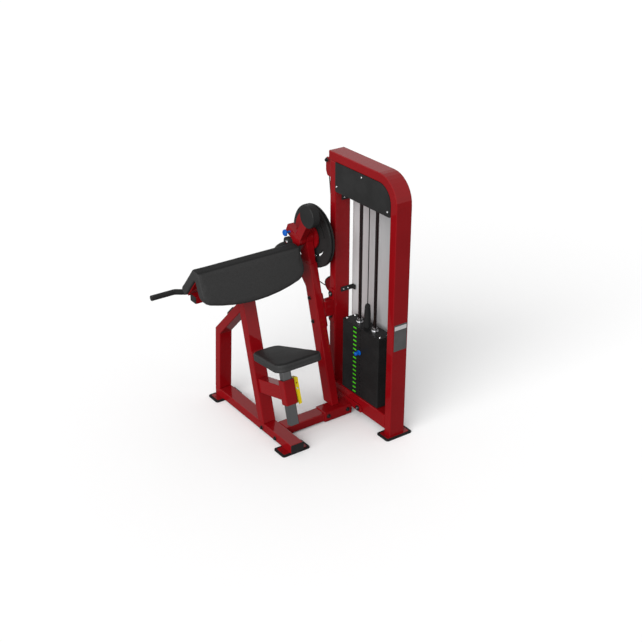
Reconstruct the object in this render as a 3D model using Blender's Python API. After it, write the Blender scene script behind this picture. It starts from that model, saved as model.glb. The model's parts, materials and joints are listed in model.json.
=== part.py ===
"""Seated biceps and triceps machine with a weight stack, in metres, +Z up.

The user sits facing +Y, with both upper arms on the V-shaped pad. The tower with the
weights stands at +X. The origin is on the floor, under the middle of the whole machine.
"""
import math

import bmesh
import bpy
from mathutils import Matrix, Vector

# Clearances
GAP = 0.0003
RUNNING_GAP = 0.0006
SWING_GAP = 0.004
WELD_OVERLAP = 0.001

# Tower
TOWER_HEIGHT = 1.500
UPRIGHT_WIDE = 0.100
UPRIGHT_DEEP = 0.050
UPRIGHT_SPACE = 0.471
HOOP_BEND = 0.150
TOP_OVERHANG = 0.014
TUBE_EDGE = 0.004
BASE_BEAM_BOTTOM = 0.042
BASE_BEAM_TOP = 0.128

# Feet
FOOT_LONG = 0.176
FOOT_WIDE = 0.100
FOOT_CORNER = 0.014
FOOT_PAD_THICK = 0.0075
FOOT_PLATE_THICK = 0.0025
FOOT_PAD_BORDER = 0.014
FOOT_HOLE = 0.005
FOOT_HOLE_INSET = 0.0235
TOWER_FOOT_SHIFT = 0.008
TOWER_FAR_FOOT_SHIFT = 0.028
FOOT_NAMES = ("near_tower", "far_tower", "near_rail", "far_rail")

# Cover and shroud
COVER_DROP = 0.163
COVER_THICK = 0.009
COVER_PROUD = 0.003
SHROUD_THICK = 0.002
SHROUD_BULGE = 0.038
SHROUD_BOTTOM = 0.128
SHROUD_TOP_DROP = 0.036
SHROUD_FLANGE = 0.040
SHROUD_SLOPE = 0.045
SHROUD_TAB_THICK = 0.004
SHROUD_TAB_HIGH = 0.028
SHROUD_TAB_LOW = 0.699
SHROUD_TAB_DROP = 0.206

# Weight stack
PLATE_COUNT = 16
SELECTED_PLATE = 6
PLATE_WIDE = 0.096
PLATE_LONG = 0.326
PLATE_PITCH = 0.0267
PLATE_SLIT = 0.0004
PLATE_CORNER = 0.004
PLATE_SLIT_DEEP = 0.010
BUMPER_THICK = 0.006
BUMPER_RADIUS = 0.022
ROD_RADIUS = 0.0095
ROD_SPREAD = 0.137
ROD_HOLE_CLEARANCE = 0.0020
COLLAR_FLANGE = 0.020
COLLAR_RADIUS = 0.0145
COLLAR_HIGH = 0.022
STEM_RADIUS = 0.012
STEM_CLEARANCE = 0.0012
PIN_RADIUS = 0.0045
PIN_CLEARANCE = 0.0010
PIN_KNOB_RADIUS = 0.011
PIN_KNOB_LONG = 0.030
PIN_RING_RADIUS = 0.015
PIN_STAND_OFF = 0.004
BOOT_HIGH = 0.138
BOOT_RADIUS = 0.0185
BOOT_TOP_RADIUS = 0.0155

# Top bar that the guide rods end in, hidden by the cover
ROD_BAR_WIDE = 0.050
ROD_BAR_HIGH = 0.025
ROD_BAR_DROP = 0.115
ROD_BAR_CABLE_HOLE = 0.012

# Cable and pulleys
CABLE_RADIUS = 0.003
PULLEY_RADIUS = 0.036
PULLEY_RIM = 0.041
PULLEY_WIDE = 0.016
PULLEY_GROOVE = 0.010
AXLE_RADIUS = 0.006
AXLE_HEAD = 0.004
CHEEK_THICK = 0.003
CHEEK_GAP = 0.0015
FLANGE_THICK = 0.005
STACK_PULLEY_DROP = 0.060
UPPER_PULLEY_OUT = 0.0483
LOWER_PULLEY_OUT = 0.050
LOWER_PULLEY_X = 0.050
LOWER_PULLEY_HEIGHT = 0.697
GUIDE_PULLEY_RISE = 22.9
CABLE_SLOT_HALF = 0.008
ARC_STEP = 15.0

# Pivot and cam
PIVOT_Y = 0.652
PIVOT_Z = 1.000
SHAFT_RADIUS = 0.015
CAM_X = -0.051
CAM_THICK = 0.0274
CAM_RADIUS = 0.180
CAM_CABLE_RADIUS = 0.165
CAM_RIM_INNER = 0.151
CAM_HUB = 0.060
CAM_WEB = 0.016
CAM_SLOT_RADIUS = 0.112
CAM_SLOT_HALF = 0.006
CAM_SLOT_ANGLES = ((-150.0, -112.0), (-80.0, -42.0), (130.0, 168.0))
CAM_WRAP = 52.0
INDEX_PLATE_THICK = 0.010
INDEX_HUB = 0.070
INDEX_LOBE = 0.147
INDEX_LOBE_ANGLES = (-5.0, 100.0)
INDEX_HOLE = 0.0075
INDEX_HOLE_STEP = 10.0
INDEX_HOLE_COUNT = 5
HOUSING_RADIUS = 0.038
HOUSING_LONG = 0.045
HOUSING_PEDESTAL = 0.040

# Movement arm, as seen from the side, about the pivot
ARM_WIDE = 0.042
ARM_TUBE = 0.051
ARM_HUB = 0.034
WEIGHT_ARM_ANGLE = 121.4
WEIGHT_ARM_REACH = 0.197
COUNTERWEIGHT_RADIUS = 0.064
COUNTERWEIGHT_THICK = 0.046
INDEX_ARM_ANGLE = 25.5
INDEX_ARM_REACH = 0.105
LUG_ANGLE = -24.7
LUG_REACH = 0.098
BOSS_RADIUS = 0.031
BOSS_THICK = 0.021
BOSS_REACH = 0.0694
POP_PIN_REACH = 0.0698
POP_PIN_RADIUS = 0.006
POP_PIN_TIP = 0.0035
POP_PIN_KNOB = 0.019
POP_PIN_STAND_OFF = 0.027
POP_BARREL = 0.011

# Handle bar, as seen from the side, about the pivot
BAR_RADIUS = 0.0155
BAR_START = (0.0726, -0.0406)
BAR_LANE = (0.208, -0.214)
BAR_INNER_LANE = (0.185, -0.222)
BAR_LEG_X = -0.232
BAR_END_X = -0.960
GRIP_LONG = 0.140
GRIP_RUN = 0.060
BAR_BEND = 0.032
CAMBER_BEND = 0.045

# Base rail, cross beam and leaning posts
LEAN = 15.0
RAIL_X = -0.494
RAIL_WIDE = 0.080
RAIL_HIGH = 0.050
RAIL_NEAR = 0.176
RAIL_FAR = 0.972
END_CAP_THICK = 0.003
CROSS_BEAM_Y = 0.385
CROSS_BEAM_WIDE = 0.080
SLEEVE_WALL = 0.0055
SLEEVE_LONG = 0.187
CROSS_FLANGE_LONG = 0.270
CROSS_FLANGE_BOTTOM = 0.044
CROSS_FLANGE_TOP = 0.086
CROSS_FLANGE_THICK = 0.008
ARM_POST_FACE = -0.070
ARM_POST_WIDE = 0.050
ARM_POST_DEEP = 0.080
ARM_POST_NEAR = 0.377
ARM_POST_TOP = 0.866
BRACE_DEEP = 0.050
BRACE_START = 0.718
BRACE_REACH = 0.083
BLOCK_BOTTOM = 0.555
BLOCK_TOP = 0.645
BLOCK_FLANGE_BOTTOM = 0.500
BLOCK_FLANGE_TOP = 0.708
BLOCK_FLANGE_THICK = 0.008
PAD_POST_DEEP = 0.055
PAD_POST_NEAR = 0.447
PAD_POST_TOP = 0.795
LEG_LEAN = 4.6
LEG_DEEP = 0.0495
LEG_ELBOW = 0.455
BUMPER_PAD_LONG = 0.100
BUMPER_PAD_WIDE = 0.050
BUMPER_PAD_THICK = 0.014
BUMPER_PAD_UP = 0.215

# Arm pad, a V lying along X
PAD_CAM_END_X = -0.184
PAD_LONG = 0.638
PAD_THICK = 0.052
PAD_RIDGE_FAR = (0.649, 0.998)
PAD_RIDGE_NEAR = (0.591, 0.990)
PAD_NEAR_SLOPE = 67.0
PAD_NEAR_LONG = 0.219
PAD_NEAR_ARC = 0.930
PAD_FAR_SLOPE = 49.9
PAD_FAR_LONG = 0.208
PAD_CORNER = 0.048
PAD_EDGE = 0.008
PAD_CROWN = 0.004
PAD_TUBE_HIGH = 0.038
PAD_BACKING = 0.006
PAD_RIB = 0.006
PAD_FRAME_INSET = 0.016
PAD_RIB_INSET = 0.110

# Seat, along the leaning post: right, forward and up the post
SEAT_SLEEVE_Y = 0.257
SEAT_SLEEVE_Z = 0.345
SLEEVE_SIDE = 0.070
SLEEVE_DEEP = 0.052
SLEEVE_HIGH = 0.140
SLEEVE_TUBE = 0.0035
SEAT_POST_SIDE = 0.054
SEAT_POST_DEEP = 0.038
SEAT_POST_LONG = 0.348
SEAT_POST_BELOW = 0.116
SEAT_ARM_WIDE = 0.060
SEAT_ARM_HIGH = 0.080
SEAT_ARM_DROP = 0.005
SEAT_PLATE_SIDE = 0.120
SEAT_PLATE_LONG = 0.240
SEAT_PLATE_THICK = 0.005
CUSHION_LONG = 0.385
CUSHION_NEAR_WIDE = 0.312
CUSHION_FAR_WIDE = 0.166
CUSHION_THICK = 0.050
CUSHION_CORNER = 0.055
CUSHION_SHIFT = -0.003
CUSHION_CROWN = 0.004
SEAT_HOLE = 0.005
SEAT_HOLE_STEP = 0.025
SEAT_HOLE_COUNT = 8
LEVER_LONG = 0.152
LEVER_WIDE = 0.026
LEVER_DEEP = 0.032
LEVER_PIVOT_UP = 0.038
LEVER_TOP_UP = 0.070
LEVER_FLARE = 0.010
LEVER_PIN = 0.0045
LEVER_BOLT = 0.004
LUG_THICK = 0.007

# Places worked out from the sizes above
FOOT_TOP = FOOT_PAD_THICK + GAP + FOOT_PLATE_THICK
FRAME_BOTTOM = FOOT_TOP - WELD_OVERLAP
TOWER_X = UPRIGHT_WIDE / 2
FAR_Y = UPRIGHT_DEEP + UPRIGHT_SPACE
FAR_OUT = FAR_Y + UPRIGHT_DEEP
TUBE_UNDER = TOWER_HEIGHT - UPRIGHT_DEEP
STACK_PULLEY_HEIGHT = TUBE_UNDER - STACK_PULLEY_DROP
ROD_BAR_TOP = TUBE_UNDER - ROD_BAR_DROP
ROD_BAR_BOTTOM = ROD_BAR_TOP - ROD_BAR_HIGH
SHROUD_TAB_UP = TUBE_UNDER - SHROUD_TAB_DROP
TOWER_FOOT_X = TOWER_X + TOWER_FOOT_SHIFT
STACK_Y = UPRIGHT_DEEP + UPRIGHT_SPACE / 2
STACK_BOTTOM = BASE_BEAM_TOP + GAP + BUMPER_THICK + GAP
STACK_TOP = STACK_BOTTOM + PLATE_COUNT * PLATE_PITCH - PLATE_SLIT
ROD_YS = (STACK_Y - ROD_SPREAD / 2, STACK_Y + ROD_SPREAD / 2)
RAIL_TOP = FRAME_BOTTOM + RAIL_HIGH
RAIL_LOW_X = RAIL_X - RAIL_WIDE / 2
RAIL_HIGH_X = RAIL_X + RAIL_WIDE / 2
SLEEVE_TOP = RAIL_TOP + GAP + SLEEVE_WALL
PAD_HIGH_X = PAD_CAM_END_X
PAD_LOW_X = PAD_HIGH_X - PAD_LONG
PAD_X = (PAD_LOW_X + PAD_HIGH_X) / 2
PAD_FRAME_LOW = PAD_LOW_X + PAD_FRAME_INSET
PAD_FRAME_HIGH = PAD_HIGH_X - PAD_FRAME_INSET
CAM_LOW_X = CAM_X - CAM_THICK / 2
CAM_HIGH_X = CAM_X + CAM_THICK / 2
INDEX_HIGH_X = CAM_LOW_X - GAP
INDEX_LOW_X = INDEX_HIGH_X - INDEX_PLATE_THICK
HOUSING_HIGH_X = INDEX_LOW_X - 0.002
HOUSING_LOW_X = HOUSING_HIGH_X - HOUSING_LONG
ARM_HIGH_X = HOUSING_LOW_X - SWING_GAP
ARM_LOW_X = ARM_HIGH_X - ARM_WIDE
BOSS_HIGH_X = ARM_LOW_X - GAP
BOSS_LOW_X = BOSS_HIGH_X - BOSS_THICK
MIDDLE_X = (BAR_END_X + TOWER_FOOT_X + FOOT_LONG / 2) / 2
TOWER_FOOT_Y = FOOT_WIDE / 2 - 0.018
RAIL_FOOT_YS = (RAIL_NEAR + FOOT_WIDE / 2 + 0.001, RAIL_FAR + 0.006 - FOOT_WIDE / 2)
MIDDLE_Y = (TOWER_FOOT_Y + RAIL_FOOT_YS[1]) / 2

RED = ("red paint", (0.33, 0.006, 0.012), 0.22, 0.0)
BLACK_STEEL = ("black paint", (0.014, 0.014, 0.015), 0.42, 0.0)
BLACK_PLASTIC = ("black plastic", (0.012, 0.012, 0.013), 0.40, 0.0)
RUBBER = ("black rubber", (0.015, 0.015, 0.015), 0.75, 0.0)
VINYL = ("black vinyl", (0.028, 0.028, 0.029), 0.50, 0.0)
CHROME = ("chrome", (0.62, 0.63, 0.65), 0.10, 1.0)
ZINC = ("zinc plated bolts", (0.45, 0.45, 0.46), 0.30, 1.0)
IRON = ("black weight plates", (0.010, 0.010, 0.011), 0.38, 0.0)
SHROUD_GREY = ("grey shroud", (0.42, 0.43, 0.45), 0.25, 0.3)
CABLE_BLACK = ("cable jacket", (0.012, 0.012, 0.012), 0.35, 0.0)
BLUE = ("blue knobs", (0.010, 0.120, 0.420), 0.35, 0.0)
YELLOW = ("yellow lever", (0.620, 0.430, 0.010), 0.35, 0.0)


def clear_scene():
    for old in list(bpy.data.objects):
        bpy.data.objects.remove(old, do_unlink=True)


def material(finish):
    name, colour, roughness, metallic = finish
    found = bpy.data.materials.get(name)
    if found:
        return found
    made = bpy.data.materials.new(name)
    made.use_nodes = True
    shader = made.node_tree.nodes["Principled BSDF"]
    shader.inputs["Base Color"].default_value = (*colour, 1.0)
    shader.inputs["Roughness"].default_value = roughness
    shader.inputs["Metallic"].default_value = metallic
    made.diffuse_color = (*colour, 1.0)
    return made


def empty_at(name, place, parent=None):
    """Joint axis of a body: an empty that its pieces are parented to."""
    empty = bpy.data.objects.new(name, None)
    bpy.context.collection.objects.link(empty)
    empty.parent = parent
    empty.location = place
    return empty


def blank(mesh):
    """Unnamed solid from a bmesh, with its faces pointing out."""
    bmesh.ops.recalc_face_normals(mesh, faces=mesh.faces)
    data = bpy.data.meshes.new("solid")
    mesh.to_mesh(data)
    mesh.free()
    solid = bpy.data.objects.new("solid", data)
    bpy.context.collection.objects.link(solid)
    return solid


def piece(solid, name, finish, body):
    """Names a solid, gives it its finish and parents it to the empty of its body."""
    solid.name = name
    solid.data.name = name
    solid.data.materials.clear()
    solid.data.materials.append(material(finish))
    solid.data.transform(Matrix.Translation(-body.location))
    solid.data.shade_smooth()
    solid.data.set_sharp_from_angle(angle=math.radians(32))
    solid.parent = body
    return solid


def bake(solid):
    """Replaces a solid's mesh by what its modifiers make of it."""
    scene = bpy.context.evaluated_depsgraph_get()
    data = bpy.data.meshes.new_from_object(solid.evaluated_get(scene))
    solid.modifiers.clear()
    solid.data = data
    return solid


def boolean(solid, tool, operation):
    step = solid.modifiers.new(operation.title(), "BOOLEAN")
    step.operation = operation
    step.solver = "EXACT"
    step.object = tool
    bake(solid)
    bpy.data.objects.remove(tool, do_unlink=True)
    return solid


def cut(solid, *tools):
    for tool in tools:
        boolean(solid, tool, "DIFFERENCE")
    return solid


def weld(solid, *others):
    for other in others:
        boolean(solid, other, "UNION")
    return solid


def round_edges(solid, width, segments=1, angle=40.0):
    step = solid.modifiers.new("Edges", "BEVEL")
    step.width = width
    step.segments = segments
    step.limit_method = "ANGLE"
    step.angle_limit = math.radians(angle)
    return bake(solid)


def place(solid, matrix):
    solid.data.transform(matrix)
    return solid


def rounded(corners, steps=4):
    """Flat outline through corners (a, b, radius), each rounded with an arc."""
    points = []
    for index, (a, b, radius) in enumerate(corners):
        corner = Vector((a, b))
        if radius <= 0.0:
            points.append(corner)
            continue
        back = (Vector(corners[index - 1][:2]) - corner).normalized()
        ahead = (Vector(corners[(index + 1) % len(corners)][:2]) - corner).normalized()
        half = back.angle(ahead) / 2
        centre = corner + (back + ahead).normalized() * radius / math.sin(half)
        start = corner + back * radius / math.tan(half) - centre
        end = corner + ahead * radius / math.tan(half) - centre
        first = math.atan2(start.y, start.x)
        turn = math.remainder(math.atan2(end.y, end.x) - first, math.tau)
        for step in range(steps + 1):
            angle = first + turn * step / steps
            points.append(centre + radius * Vector((math.cos(angle), math.sin(angle))))
    return points


def rectangle(low_a, low_b, high_a, high_b, radius=0.0, steps=3):
    corners = [(low_a, low_b), (high_a, low_b), (high_a, high_b), (low_a, high_b)]
    return rounded([(a, b, radius) for a, b in corners], steps)


def arc_points(radius, first, last, step=6.0, centre=(0.0, 0.0)):
    """Points on a circle from one angle to another, both in degrees."""
    count = max(2, math.ceil(abs(last - first) / step))
    points = []
    for index in range(count + 1):
        angle = math.radians(first + (last - first) * index / count)
        points.append(Vector(centre) + radius * Vector((math.cos(angle), math.sin(angle))))
    return points


def meet(start, along, other, other_along):
    """Point where two flat lines cross, each given by a point and a direction."""
    start, along = Vector(start), Vector(along)
    other, other_along = Vector(other), Vector(other_along)
    cross = along.x * other_along.y - along.y * other_along.x
    offset = other - start
    share = (offset.x * other_along.y - offset.y * other_along.x) / cross
    return start + along * share


def prism(outline, low, high, axis):
    """Solid that carries a flat outline along an axis. Outlines are (y, z), (x, z) or (x, y)."""
    order = {"X": (2, 0, 1), "Y": (0, 2, 1), "Z": (0, 1, 2)}[axis]
    mesh = bmesh.new()
    ends = []
    for level in (low, high):
        ring = []
        for a, b in outline:
            values = (a, b, level)
            ring.append(mesh.verts.new([values[slot] for slot in order]))
        ends.append(ring)
    mesh.faces.new(ends[0])
    mesh.faces.new(ends[1])
    count = len(outline)
    for index in range(count):
        after = (index + 1) % count
        mesh.faces.new((ends[0][index], ends[0][after], ends[1][after], ends[1][index]))
    return blank(mesh)


def box(low, high):
    return prism(rectangle(low[0], low[1], high[0], high[1]), low[2], high[2], "Z")


def frame_along(start, direction):
    """Matrix whose Z runs along a direction from a start point."""
    turn = Vector(direction).to_track_quat("Z", "Y").to_matrix().to_4x4()
    return Matrix.Translation(start) @ turn


def lathe(profile, start, direction, sides):
    """Turned solid: profile points are (radius, height), from the axis or as a closed ring."""
    mesh = bmesh.new()
    rings = []
    for radius, height in profile:
        if radius < 1e-9:
            rings.append([mesh.verts.new((0.0, 0.0, height))])
            continue
        ring = []
        for side in range(sides):
            angle = math.tau * (side + 0.5) / sides
            ring.append(mesh.verts.new((radius * math.cos(angle), radius * math.sin(angle), height)))
        rings.append(ring)
    open_profile = profile[0][0] < 1e-9
    last = len(rings) - 1 if open_profile else len(rings)
    for index in range(last):
        low, high = rings[index], rings[(index + 1) % len(rings)]
        for side in range(sides):
            after = (side + 1) % sides
            corners = [low[side % len(low)], low[after % len(low)]]
            corners += [high[after % len(high)], high[side % len(high)]]
            unique = list(dict.fromkeys(corners))
            mesh.faces.new(unique)
    return place(blank(mesh), frame_along(start, direction))


def rod(start, end, radius, sides=16):
    length = (Vector(end) - Vector(start)).length
    profile = [(0.0, 0.0), (radius, 0.0), (radius, length), (0.0, length)]
    return lathe(profile, start, Vector(end) - Vector(start), sides)


def tube(start, end, outer, inner, sides=20):
    length = (Vector(end) - Vector(start)).length
    profile = [(inner, 0.0), (outer, 0.0), (outer, length), (inner, length)]
    return lathe(profile, start, Vector(end) - Vector(start), sides)


def bent_path(corners, step=15.0):
    """Points along straight runs joined by arcs, from corners ((x, y, z), bend radius)."""
    points = []
    for index, (spot, radius) in enumerate(corners):
        corner = Vector(spot)
        if radius <= 0.0 or index in (0, len(corners) - 1):
            points.append(corner)
            continue
        back = (Vector(corners[index - 1][0]) - corner).normalized()
        ahead = (Vector(corners[index + 1][0]) - corner).normalized()
        half = back.angle(ahead) / 2
        centre = corner + (back + ahead).normalized() * radius / math.sin(half)
        start = (corner + back * radius / math.tan(half) - centre).normalized()
        end = (corner + ahead * radius / math.tan(half) - centre).normalized()
        count = max(2, math.ceil(math.degrees(start.angle(end)) / step))
        for part in range(count + 1):
            points.append(centre + radius * start.slerp(end, part / count))
    return points


def round_bar(points, radius, resolution):
    """Round bar or cable along points, with flat capped ends."""
    curve = bpy.data.curves.new("bar", "CURVE")
    curve.dimensions = "3D"
    curve.bevel_depth = radius
    curve.bevel_resolution = resolution
    curve.use_fill_caps = True
    line = curve.splines.new("POLY")
    line.points.add(len(points) - 1)
    for slot, spot in zip(line.points, points):
        slot.co = (*spot, 1.0)
    bar = bpy.data.objects.new("bar", curve)
    bpy.context.collection.objects.link(bar)
    scene = bpy.context.evaluated_depsgraph_get()
    data = bpy.data.meshes.new_from_object(bar.evaluated_get(scene))
    bpy.data.objects.remove(bar, do_unlink=True)
    mesh = bmesh.new()
    mesh.from_mesh(data)
    bmesh.ops.remove_doubles(mesh, verts=mesh.verts, dist=1e-6)
    return blank(mesh)


def offset_inward(outline, distance):
    """Outline with each point moved inward along its corner's normal. Outlines run anticlockwise."""
    moved = []
    count = len(outline)
    for index, spot in enumerate(outline):
        along = (outline[(index + 1) % count] - outline[index - 1]).normalized()
        moved.append(spot + distance * Vector((-along.y, along.x)))
    return moved


def skin(rings):
    """Closed solid through rings of equal length, with a face on the first and last."""
    mesh = bmesh.new()
    made = [[mesh.verts.new(spot) for spot in ring] for ring in rings]
    count = len(rings[0])
    for low, high in zip(made, made[1:]):
        for index in range(count):
            after = (index + 1) % count
            mesh.faces.new((low[index], low[after], high[after], high[index]))
    mesh.faces.new(made[0])
    mesh.faces.new(made[-1])
    return blank(mesh)


def lean_shift(height):
    """How far a leaning post has moved forward at a height above its foot."""
    return height * math.tan(math.radians(LEAN))


def lean_depth(depth):
    """Level width of a leaning post of a given depth."""
    return depth / math.cos(math.radians(LEAN))


def seat_frame():
    """Matrix of the seat's sleeve: X right, Y forward, Z up the leaning post."""
    turn = Matrix.Rotation(-math.radians(LEAN), 4, "X")
    return Matrix.Translation((RAIL_X, SEAT_SLEEVE_Y, SEAT_SLEEVE_Z)) @ turn


def about_pivot(spot, x):
    return Vector((x, PIVOT_Y + spot[0], PIVOT_Z + spot[1]))


def polar(radius, degrees):
    angle = math.radians(degrees)
    return Vector((radius * math.cos(angle), radius * math.sin(angle)))


# Tower

def tower_hoop(body):
    """Near upright, bend and top tube, one bent rectangular tube."""
    end = FAR_OUT + TOP_OVERHANG
    inner = HOOP_BEND - UPRIGHT_DEEP
    outline = rounded([
        (0.0, FRAME_BOTTOM, 0.0), (UPRIGHT_DEEP, FRAME_BOTTOM, 0.0),
        (UPRIGHT_DEEP, TUBE_UNDER, inner), (end, TUBE_UNDER, 0.0),
        (end, TOWER_HEIGHT, 0.0), (0.0, TOWER_HEIGHT, HOOP_BEND)], steps=9)
    hoop = round_edges(prism(outline, 0.0, UPRIGHT_WIDE, "X"), TUBE_EDGE, 2)
    piece(weld(hoop, foot_plate(0)), "tower_hoop", RED, body)


def far_upright(body):
    """Second upright, with the slot that the cable leaves the tower through."""
    outline = rectangle(FAR_Y, FRAME_BOTTOM, FAR_OUT, TUBE_UNDER - GAP)
    upright = round_edges(prism(outline, 0.0, UPRIGHT_WIDE, "X"), TUBE_EDGE, 2)
    level = STACK_PULLEY_HEIGHT + PULLEY_RADIUS
    slot_low = (TOWER_X - CABLE_SLOT_HALF, FAR_Y - 0.01, level - CABLE_SLOT_HALF)
    slot_high = (TOWER_X + CABLE_SLOT_HALF, FAR_OUT + 0.01, level + CABLE_SLOT_HALF)
    cut(upright, box(slot_low, slot_high))
    piece(weld(upright, foot_plate(1)), "far_upright", RED, body)


def tower_base_beam(body):
    beam = box((0.0, UPRIGHT_DEEP + GAP, BASE_BEAM_BOTTOM), (UPRIGHT_WIDE, FAR_Y - GAP, BASE_BEAM_TOP))
    piece(round_edges(beam, TUBE_EDGE, 2), "tower_base_beam", RED, body)


def foot_centres():
    centres = [(TOWER_FOOT_X, TOWER_FOOT_Y), (TOWER_FOOT_X, FAR_Y + TOWER_FAR_FOOT_SHIFT)]
    centres += [(RAIL_X, y) for y in RAIL_FOOT_YS]
    return centres


def foot_slab(centre, border, bottom, top):
    """Rounded slab of a foot, with the two holes that bolt it to the floor."""
    x, y = centre
    half_x = FOOT_LONG / 2 - border
    half_y = FOOT_WIDE / 2 - border
    outline = rectangle(x - half_x, y - half_y, x + half_x, y + half_y, FOOT_CORNER - border / 2)
    slab = prism(outline, bottom, top, "Z")
    for side in (-1, 1):
        spot = x + side * (FOOT_LONG / 2 - FOOT_HOLE_INSET)
        cut(slab, rod((spot, y, bottom - 0.01), (spot, y, top + 0.01), FOOT_HOLE, 10))
    return slab


def foot_pads(body):
    for name, centre in zip(FOOT_NAMES, foot_centres()):
        piece(foot_slab(centre, 0.0, 0.0, FOOT_PAD_THICK), f"{name}_foot_pad", RUBBER, body)


def foot_plate(number):
    """Red plate that is welded under a frame and stands on its rubber pad."""
    return foot_slab(foot_centres()[number], FOOT_PAD_BORDER, FOOT_PAD_THICK + GAP, FOOT_TOP)


def cover_outline(inset):
    """Inner edge of the hoop, from the far upright over the bend to the near upright."""
    low = TOWER_HEIGHT - UPRIGHT_DEEP - COVER_DROP
    near = UPRIGHT_DEEP + inset
    far = FAR_Y - inset
    top = TUBE_UNDER - inset
    bend = HOOP_BEND - UPRIGHT_DEEP - inset
    return rounded([(near, low, 0.006), (far, low, 0.006), (far, top, 0.0), (near, top, bend)], steps=9)


def cover_panel(body):
    panel = prism(cover_outline(GAP), -COVER_PROUD, COVER_THICK - COVER_PROUD, "X")
    piece(panel, "cover_panel", BLACK_PLASTIC, body)


def rear_shroud(body):
    """Bent sheet behind the weights, fixed to the near upright and open beside the far one."""
    face = UPRIGHT_WIDE + GAP
    bulge = UPRIGHT_WIDE + SHROUD_BULGE
    far_bend = FAR_Y - 0.050
    far_end = FAR_Y + 0.012
    line = [(face, UPRIGHT_DEEP - SHROUD_FLANGE), (face, UPRIGHT_DEEP), (bulge, UPRIGHT_DEEP + SHROUD_SLOPE)]
    line += [(bulge, far_bend), (bulge - 0.010, far_end)]
    thick = SHROUD_THICK
    back = [(x + thick, y - thick * 0.5) for x, y in line[:3]] + [(x + thick, y) for x, y in line[3:]]
    back[0] = (face + thick, line[0][1])
    outline = [(x, y) for x, y in line] + back[::-1]
    sheet = prism(outline, SHROUD_BOTTOM, TUBE_UNDER - SHROUD_TOP_DROP, "Z")
    margin = 0.006
    inside_hoop = rounded([
        (margin, 0.0, 0.0), (FAR_OUT + margin, 0.0, 0.0), (FAR_OUT + margin, TOWER_HEIGHT, 0.0),
        (margin, TOWER_HEIGHT - margin, HOOP_BEND)], steps=9)
    boolean(sheet, prism(inside_hoop, UPRIGHT_WIDE - 0.02, UPRIGHT_WIDE + 0.08, "X"), "INTERSECT")
    piece(sheet, "rear_shroud", SHROUD_GREY, body)


def shroud_tabs(body):
    """L-shaped tabs from the far upright's inner face out to the shroud."""
    inner = FAR_Y - GAP
    reach = UPRIGHT_WIDE + SHROUD_BULGE - 0.014
    thick = SHROUD_TAB_THICK
    outline = [(0.040, inner), (reach, inner), (reach, inner - 0.024), (reach - thick, inner - 0.024)]
    outline += [(reach - thick, inner - thick), (0.040, inner - thick)]
    half = SHROUD_TAB_HIGH / 2
    for name, level in (("lower", SHROUD_TAB_LOW), ("upper", SHROUD_TAB_UP)):
        tab = prism(outline, level - half, level + half, "Z")
        piece(tab, f"{name}_shroud_tab", BLACK_STEEL, body)


# Weight stack

def plate_bottom(number):
    """Underside of a plate, counted from the top, where 1 is the head plate."""
    return STACK_BOTTOM + (PLATE_COUNT - number) * PLATE_PITCH


def pin_level(number):
    return plate_bottom(number) + (PLATE_PITCH - PLATE_SLIT) / 2


def plate_pile(top, bottom):
    """Plates between two numbers, with fine slits between them that stop at a common core."""
    half_x, half_y = PLATE_WIDE / 2, PLATE_LONG / 2
    edge = rectangle(TOWER_X - half_x, STACK_Y - half_y, TOWER_X + half_x, STACK_Y + half_y, PLATE_CORNER, 1)
    core = offset_inward(edge, PLATE_SLIT_DEEP)
    rings = []
    for number in range(bottom, top - 1, -1):
        low = plate_bottom(number)
        high = low + PLATE_PITCH - PLATE_SLIT
        layers = [(edge, low), (edge, high)]
        if number < bottom:
            layers.insert(0, (core, low))
        if number > top:
            layers.append((core, high))
        rings += [[Vector((x, y, level)) for x, y in outline] for outline, level in layers]
    pile = skin(rings)
    low, high = plate_bottom(bottom) - 0.01, plate_bottom(top) + PLATE_PITCH + 0.01
    holes = [(y, ROD_RADIUS + ROD_HOLE_CLEARANCE) for y in ROD_YS] + [(STACK_Y, STEM_RADIUS + STEM_CLEARANCE)]
    for y, radius in holes:
        cut(pile, rod((TOWER_X, y, low), (TOWER_X, y, high), radius, 14))
    for number in range(top, bottom + 1):
        start = (TOWER_X - half_x - 0.01, STACK_Y, pin_level(number))
        cut(pile, rod(start, (TOWER_X, STACK_Y, pin_level(number)), PIN_RADIUS + PIN_CLEARANCE, 8))
    return pile


def weight_plates(body, lifted):
    piece(plate_pile(1, 1), "head_plate", IRON, lifted)
    piece(plate_pile(2, SELECTED_PLATE), "lifted_weight_plates", IRON, lifted)
    piece(plate_pile(SELECTED_PLATE + 1, PLATE_COUNT), "resting_weight_plates", IRON, body)


def rod_collars(lifted):
    """Flanged bushes on the head plate that run on the guide rods."""
    inner = ROD_RADIUS + RUNNING_GAP
    profile = [(inner, 0.0), (COLLAR_FLANGE, 0.0), (COLLAR_FLANGE, 0.005)]
    profile += [(COLLAR_RADIUS, 0.005), (COLLAR_RADIUS, COLLAR_HIGH), (inner, COLLAR_HIGH)]
    for name, y in zip(("near", "far"), ROD_YS):
        collar = lathe(profile, (TOWER_X, y, STACK_TOP + GAP), (0, 0, 1), 16)
        piece(collar, f"{name}_rod_collar", BLACK_PLASTIC, lifted)


def selector_stem(lifted):
    """Round bar under the head plate, drilled across for the selector pin at each plate."""
    stem = rod((TOWER_X, STACK_Y, STACK_BOTTOM + 0.002), (TOWER_X, STACK_Y, STACK_TOP - GAP), STEM_RADIUS, 14)
    for number in range(2, PLATE_COUNT + 1):
        level = pin_level(number)
        reach = STEM_RADIUS * 1.5
        start = (TOWER_X - reach, STACK_Y, level)
        cut(stem, rod(start, (TOWER_X + reach, STACK_Y, level), PIN_RADIUS + PIN_CLEARANCE, 8))
    piece(stem, "selector_stem", CHROME, lifted)


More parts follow.
